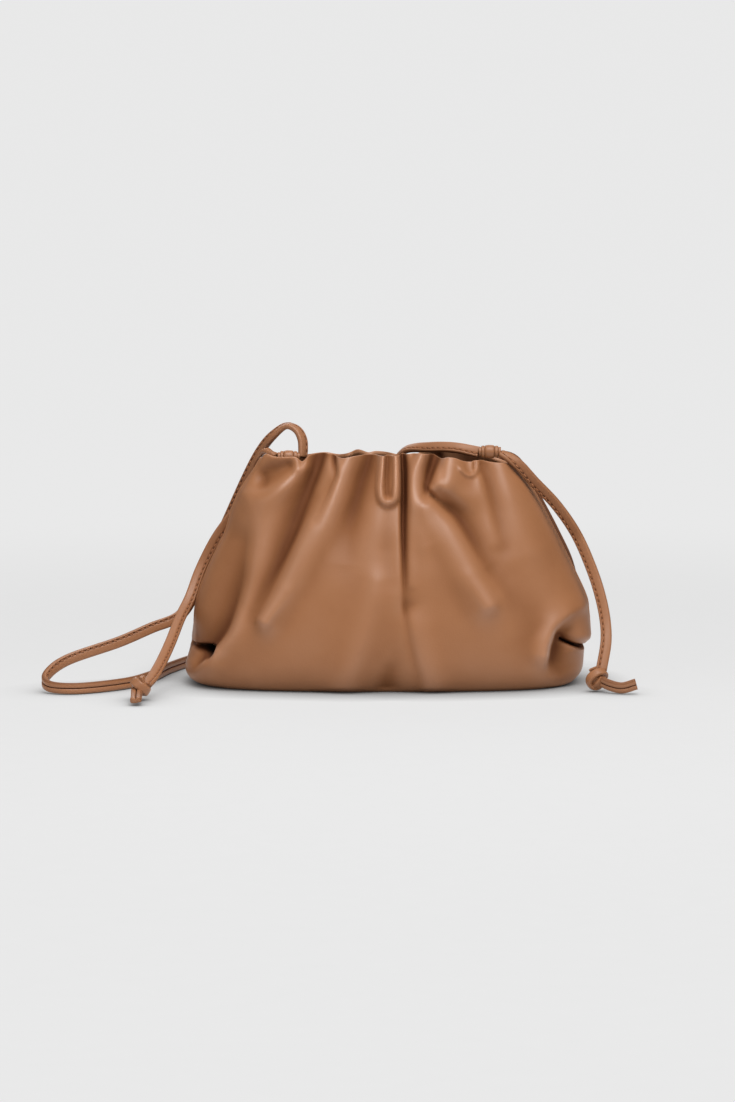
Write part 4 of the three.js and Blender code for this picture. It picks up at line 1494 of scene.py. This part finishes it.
    def folded(
        self, place: np.ndarray, angle: np.ndarray, front: tuple[Fold, ...] = FRONT_FOLDS + FINE_FOLDS
    ) -> tuple[np.ndarray, np.ndarray]:
        """Folds the shell.

        Args:
            place: Places up the pouch.
            angle: Angles round it.
            front: The folds of the front.

        Returns:
            Points of the outside, and the height of the folds there.
        """
        points, level, deep = self.shell(place, angle)
        x = points[..., 0]
        z = points[..., 2]
        share = {
            Face.FRONT: 1.0 - smooth_rise(0.0, self.seam_blend, deep),
            Face.BACK: smooth_rise(-self.seam_blend, 0.0, deep),
        }
        total = np.maximum(1.0, share[Face.FRONT] + share[Face.BACK])
        rise = np.zeros_like(x)
        for face, folds in ((Face.FRONT, front), (Face.BACK, BACK_FOLDS)):
            for fold in folds:
                rise += share[face] / total * self.fold_height(fold, x, z)
        rise *= smooth_rise(0.0, self.fold_floor, z)
        seam = self.seam_high * np.exp(-((points[..., 1] / self.seam_wide) ** 2))
        rise += seam * smooth_rise(self.seam_from, self.seam_to, z)
        ahead = np.array([0.0, 1.0, 0.0]) * np.where(deep < 0, -1.0, 1.0)[..., None]
        facing = smooth_rise(0.0, self.seam_blend, np.abs(deep))[..., None] * self.view_share
        level = unit(level * (1.0 - facing) + ahead * facing)
        rim = SECTIONS[-1].height
        dip = np.zeros_like(x)
        for sag in RIM_DIPS + FINE_DIPS:
            dip += share[sag.face] / total * sag.deep * np.exp(-(((x - sag.x) / sag.wide) ** 2))
        out = points + level * rise[..., None]
        out[..., 2] -= dip * smooth_rise(rim - self.dip_reach, rim, z)
        return out, rise

    def inside(self, place: np.ndarray, angle: np.ndarray, outside: np.ndarray) -> np.ndarray:
        """Sets the inner face of the leather one wall in from the outer one.

        Args:
            place: Places up the pouch.
            angle: Angles round it.
            outside: The outer points there.

        Returns:
            The inner points.
        """
        last = len(SECTIONS) - 1
        up, _, _ = self.shell(np.minimum(place + self.slope_step, last), angle)
        down, _, _ = self.shell(np.maximum(place - self.slope_step, 0), angle)
        _, level, _ = self.shell(place, angle)
        slope = unit(up - down)
        outward = unit(level - slope * np.sum(level * slope, axis=-1, keepdims=True))
        settle = smooth_rise(0.0, 1.0, place)[:, None, None]
        outward = unit(outward * settle + np.array([0.0, 0.0, -1.0]) * (1.0 - settle))
        return outside - outward * self.wall

    def tone(self, rise: np.ndarray) -> np.ndarray:
        """Finds ridges and valleys by comparing the folds with their own blur.

        Args:
            rise: Fold heights over the grid.

        Returns:
            A tone from about -1 in valleys to 1 on ridges, which the leather paints as shade in the valleys
            and as wear with painted highlight on the ridges.
        """
        shifts = range(-self.tone_reach, self.tone_reach + 1)
        blur = rise.copy()
        for _ in range(self.blur_rounds):
            blur = np.mean([np.roll(blur, k, axis=1) for k in shifts], axis=0)
        # Leather below its blur and sunken leather are painted darker as shade; leather above its blur is
        # painted paler
        local = (rise - blur) / self.ridge_range
        return np.clip(local + np.minimum(rise, 0.0) / self.valley_range, -1.0, 1.0)

    def notch_shade(self, place: np.ndarray, angle: np.ndarray) -> np.ndarray:
        """Finds the places that lie deep inside the notches of the base corners, where painted black shade
        goes.

        Args:
            place: Places up the pouch.
            angle: Angles round it.

        Returns:
            A painted shade from 0 outside to 1 deep inside.
        """
        points, _, deep = self.shell(place, angle)
        notches = [fold for fold in FRONT_FOLDS if fold.name in NOTCHES]
        sunk = sum(self.fold_height(fold, points[..., 0], points[..., 2]) for fold in notches)
        return np.clip(-sunk * (1.0 - smooth_rise(0.0, self.seam_blend, deep)) / self.notch_dark, 0.0, 1.0)

    def build(self, leather: bpy.types.Material, inner_leather: bpy.types.Material) -> bpy.types.Object:
        """Builds the shell from the base up, over the hem and down to the floor inside.

        Args:
            leather: The outer material.
            inner_leather: The material of the flesh side.

        Returns:
            The pouch's object.
        """
        top = len(SECTIONS) - 1
        outer_place = self.rows()
        inner_place = top * (1.0 - np.linspace(0.0, 1.0, self.inner_rows + 1) ** self.inner_crowding)
        outer_angle = self.columns(outer_place)
        outer, rise = self.folded(outer_place, outer_angle)
        inner_angle = self.columns(inner_place)
        clear = tuple(self.roomy(fold) for fold in FRONT_FOLDS + FINE_FOLDS)
        inner_out, _ = self.folded(inner_place, inner_angle, clear)
        inner = self.inside(inner_place, inner_angle, inner_out)
        edge = outer[-1]
        lip = inner[0]
        hem = []
        for share in np.linspace(0.0, 1.0, self.hem_rows + 2)[1:-1]:
            row = edge + (lip - edge) * share
            row[:, 2] += self.rim_roll * math.sin(math.pi * share)
            hem.append(row)
        rings = [*outer, *hem, *inner]
        count = self.front_columns + self.back_columns
        points = np.vstack([*rings, [[0.0, 0.0, 0.0], [0.0, 0.0, self.wall]]])
        faces = ring_faces(len(rings), count) + end_fans(len(rings), count)
        made = mesh_object("pouch_body", points, faces)
        made.data.materials.append(leather)
        made.data.materials.append(inner_leather)
        inner_from = (self.outer_rows + self.hem_rows + 2 + self.turned_rows) * count
        fans_from = (len(rings) - 1) * count
        slots = np.zeros(len(made.data.polygons), dtype=np.int32)
        slots[inner_from:fans_from] = 1
        slots[fans_from + 1 :: 2] = 1
        made.data.polygons.foreach_set("material_index", slots)
        # The notches' insides are painted black over the fold tone, a painted shade
        tone = self.tone(rise) - self.notch_tone * self.notch_shade(outer_place, outer_angle)
        # A painted highlight along the rim
        hem_highlight_tone = np.clip(tone[-1] + self.hem_highlight, 0.0, 1.0)
        turned_from = tone.size + self.hem_rows * count
        shades = np.zeros(len(points))
        shades[: tone.size] = tone.ravel()
        shades[tone.size : turned_from] = np.tile(hem_highlight_tone, self.hem_rows)
        # The turned-in band takes the palest tone, a painted light
        shades[turned_from : turned_from + (self.turned_rows + 1) * count] = self.turned_light
        paint_folds(made, shades)
        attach(made, "root")
        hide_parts("pouch_body")
        LOG.info("pouch_body: %d faces", len(made.data.polygons))
        return made


# Studio


@dataclass(frozen=True)
class SoftLight:
    """A square soft light: its place and aim in metres, its side in metres and its power in watts."""

    name: str
    place: Spot
    aim: Spot
    size: float
    power: float

    def hang(self) -> None:
        """Adds the light to the scene."""
        lamp = bpy.data.lights.new(self.name, "AREA")
        lamp.size = self.size
        lamp.energy = self.power
        made = bpy.data.objects.new(self.name, lamp)
        made.location = self.place
        made.rotation_euler = (Vector(self.aim) - Vector(self.place)).to_track_quat("-Z", "Y").to_euler()
        bpy.context.scene.collection.objects.link(made)


# Columns: name, place, aim, side, power
SOFT_LIGHTS = (
    SoftLight("top_light", (0.1, -0.5, 1.17), (0.0, 0.0, 0.05), 0.9, 18.0),
    SoftLight("right_light", (1.3, -0.7, 0.7), (0.0, 0.0, 0.06), 0.9, 2.2),
    SoftLight("left_light", (-1.2, -0.7, 0.8), (0.0, 0.0, 0.06), 0.8, 3.0),
    SoftLight("back_light", (-0.3, 1.3, 0.9), (0.0, 0.0, 0.07), 0.9, 4.0),
)


@dataclass
class Studio:
    """The pale sweep, the soft lights and the camera."""

    picture_width: int = 735
    millimetres_per_pixel: float = 0.57
    distance: float = 2.4
    elevation: float = 6.5
    aim_x: float = -12.3
    aim_z: float = 74.5
    sensor: float = 36.0
    sweep_tone: float = 0.81
    sweep_near: float = 0.15
    sweep_light: float = 1.35
    # sweep_bounce and sweep_dim set the glow that lights the pouch from the sweep as painted bounce light;
    # shade_reach and shade_power set the painted contact shadow
    sweep_bounce: float = 1.6
    shade_reach: float = 0.03
    shade_power: float = 1.5
    sweep_dim: float = 0.25
    sweep_half: float = 6.0
    sweep_back: float = 5.0
    sweep_curve: float = 1.5
    sweep_top: float = 6.0
    near_from: float = 0.9
    near_to: float = 0.2
    speckle: float = 0.01
    room_light: float = 0.18

    def camera(self) -> None:
        """Places the camera at the photograph's angle."""
        lens = bpy.data.cameras.new("camera")
        lens.sensor_fit = "HORIZONTAL"
        lens.sensor_width = self.sensor
        lens.lens = self.sensor * self.distance / (self.picture_width * self.millimetres_per_pixel * MM)
        lens.clip_end = 50.0
        made = bpy.data.objects.new("camera", lens)
        rise = math.radians(self.elevation)
        aim = Vector((self.aim_x * MM, 0.0, self.aim_z * MM))
        made.location = aim + Vector((0.0, -math.cos(rise), math.sin(rise))) * self.distance
        made.rotation_euler = (math.pi / 2 - rise, 0.0, 0.0)
        bpy.context.scene.collection.objects.link(made)
        bpy.context.scene.camera = made

    def sweep(self) -> None:
        """Lays a floor that curves up into a backdrop, well away from the pouch on every side, that glows
        with painted bounce light and a painted contact shadow.
        """
        half = self.sweep_half
        back = self.sweep_back
        curve = self.sweep_curve
        rows = [(-half, 0.0), (back - curve, 0.0)]
        for angle in np.linspace(0.0, 90.0, 25)[1:]:
            lift = math.radians(angle)
            rows.append((back - curve + curve * math.sin(lift), curve * (1 - math.cos(lift))))
        rows.append((back, self.sweep_top))
        points = np.array([(x, y, z) for y, z in rows for x in (-half, half)]) / MM
        faces = [(2 * k, 2 * k + 1, 2 * k + 3, 2 * k + 2) for k in range(len(rows) - 1)]
        made = mesh_object("sweep", points, faces)
        paper = bpy.data.materials.new("sweep_paper")
        paper.use_nodes = True
        sheet = NodeSheet(paper.node_tree)
        surface = paper.node_tree.nodes["Principled BSDF"]
        place = sheet.add("ShaderNodeTexCoord")
        away = sheet.add("ShaderNodeVectorMath", operation="LENGTH")
        sheet.join(place.outputs["Object"], away.inputs[0])
        near = sheet.add("ShaderNodeMapRange", interpolation_type="SMOOTHSTEP")
        near.inputs["From Min"].default_value = self.near_from
        near.inputs["From Max"].default_value = self.near_to
        near.inputs["To Min"].default_value = 0.0
        near.inputs["To Max"].default_value = self.sweep_near
        sheet.join(away.outputs["Value"], near.inputs["Value"])
        speckle = sheet.add("ShaderNodeTexNoise", Scale=900.0, Detail=2.0)
        speck = sheet.math("MULTIPLY", speckle.outputs["Fac"], self.speckle)
        sheet.join(sheet.math("ADD", speck, near.outputs["Result"]), surface.inputs["Base Color"])
        lit = sheet.math("MULTIPLY", near.outputs["Result"], self.sweep_light)
        # Rays other than the camera's see the sweep glow near the pouch, a painted bounce light
        sight = sheet.add("ShaderNodeLightPath")
        bounce = sheet.math("MULTIPLY", near.outputs["Result"], self.sweep_bounce / self.sweep_near)
        unseen = sheet.math("MAXIMUM", bounce, self.sweep_dim)
        rest = sheet.math("SUBTRACT", 1.0, unseen)
        in_view = sheet.math("MULTIPLY", sight.outputs["Is Camera Ray"], rest)
        seen = sheet.math("ADD", unseen, in_view)
        # Ambient occlusion darkens the glow near the pouch, a painted contact shadow
        contact = sheet.add("ShaderNodeAmbientOcclusion", samples=16, Distance=self.shade_reach)
        shade = sheet.math("POWER", contact.outputs["AO"], self.shade_power)
        pale = sheet.math("SUBTRACT", self.sweep_tone, lit)
        glow = sheet.math("MULTIPLY", pale, sheet.math("MULTIPLY", seen, shade))
        sheet.join(glow, surface.inputs["Emission Color"])
        surface.inputs["Emission Strength"].default_value = 1.0
        surface.inputs["Roughness"].default_value = 0.9
        surface.inputs["Specular IOR Level"].default_value = 0.0
        made.data.materials.append(paper)

    def lights(self) -> None:
        """Sets an even bright room with a soft light above, two in front and a weak one behind."""
        world = bpy.data.worlds.new("room")
        world.use_nodes = True
        world.node_tree.nodes["Background"].inputs["Color"].default_value = (1.0, 1.0, 1.0, 1.0)
        world.node_tree.nodes["Background"].inputs["Strength"].default_value = self.room_light
        bpy.context.scene.world = world
        bpy.context.scene.view_settings.view_transform = "Standard"
        for light in SOFT_LIGHTS:
            light.hang()


def main() -> None:
    """Builds the scene in order."""
    logging.basicConfig(level=logging.INFO, format="%(name)s: %(message)s")
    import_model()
    studio = Studio()
    studio.camera()
    groups = LeatherGroups()
    pouch_leather = POUCH_LEATHER.material(groups)
    inside_leather = INSIDE_LEATHER.material(groups)
    strap_leather = STRAP_LEATHER.material(groups)
    thread = STITCH_THREAD.material(groups)
    left_tie = TieKnot("left_tie_knot", -57.0, -2.4, 128.6).build(strap_leather)
    right_tie = TieKnot("right_tie_knot", 57.0, -6.8, 132.0).build(strap_leather)
    left_tip = Strap("left_tip", "left_end_knot", LEFT_TIP_ROUTE, side=StrapSide.GROOVED)
    right_tip = Strap("right_tip", "right_end_knot", RIGHT_TIP_ROUTE, side=StrapSide.GROOVED)
    left_end = EndKnot("left_end_knot", -138.0, -76.0, 7.0, -80.0, left_tip)
    right_end = EndKnot("right_end_knot", 116.8, -43.5, 7.2, 0.0, right_tip, tilt=-35.0)
    left_knots = left_end.build(strap_leather)
    right_knots = right_end.build(strap_leather)
    strap = Strap(
        "shoulder_strap",
        "shoulder_strap",
        STRAP_ROUTE,
        side=StrapSide.GROOVED,
        shaded_stretches=(ShadedStretch(0.05, 0.16, -0.3), ShadedStretch(0.72, 0.92, -0.75)),
    )
    KnottedStrap(strap, "object").dress(strap_leather, thread)
    left_tail = Strap(
        "left_tail",
        "left_tail",
        LEFT_TAIL_ROUTE,
        side=StrapSide.GROOVED,
        stitch_edge=-1,
        shaded_stretches=(ShadedStretch(0.08, 0.45, -0.25),),
    )
    KnottedStrap(left_tail, "knot").dress(strap_leather, thread)
    right_tail = Strap(
        "right_tail", "right_tail", RIGHT_TAIL_ROUTE, stitch_edge=-1, shaded_stretches=(ShadedStretch(0.06, 0.45, -0.35),),
    )
    KnottedStrap(right_tail, "knot").dress(strap_leather, thread)
    PouchBody().build(pouch_leather, inside_leather)
    studio.sweep()
    studio.lights()


if __name__ == "__main__":
    main()
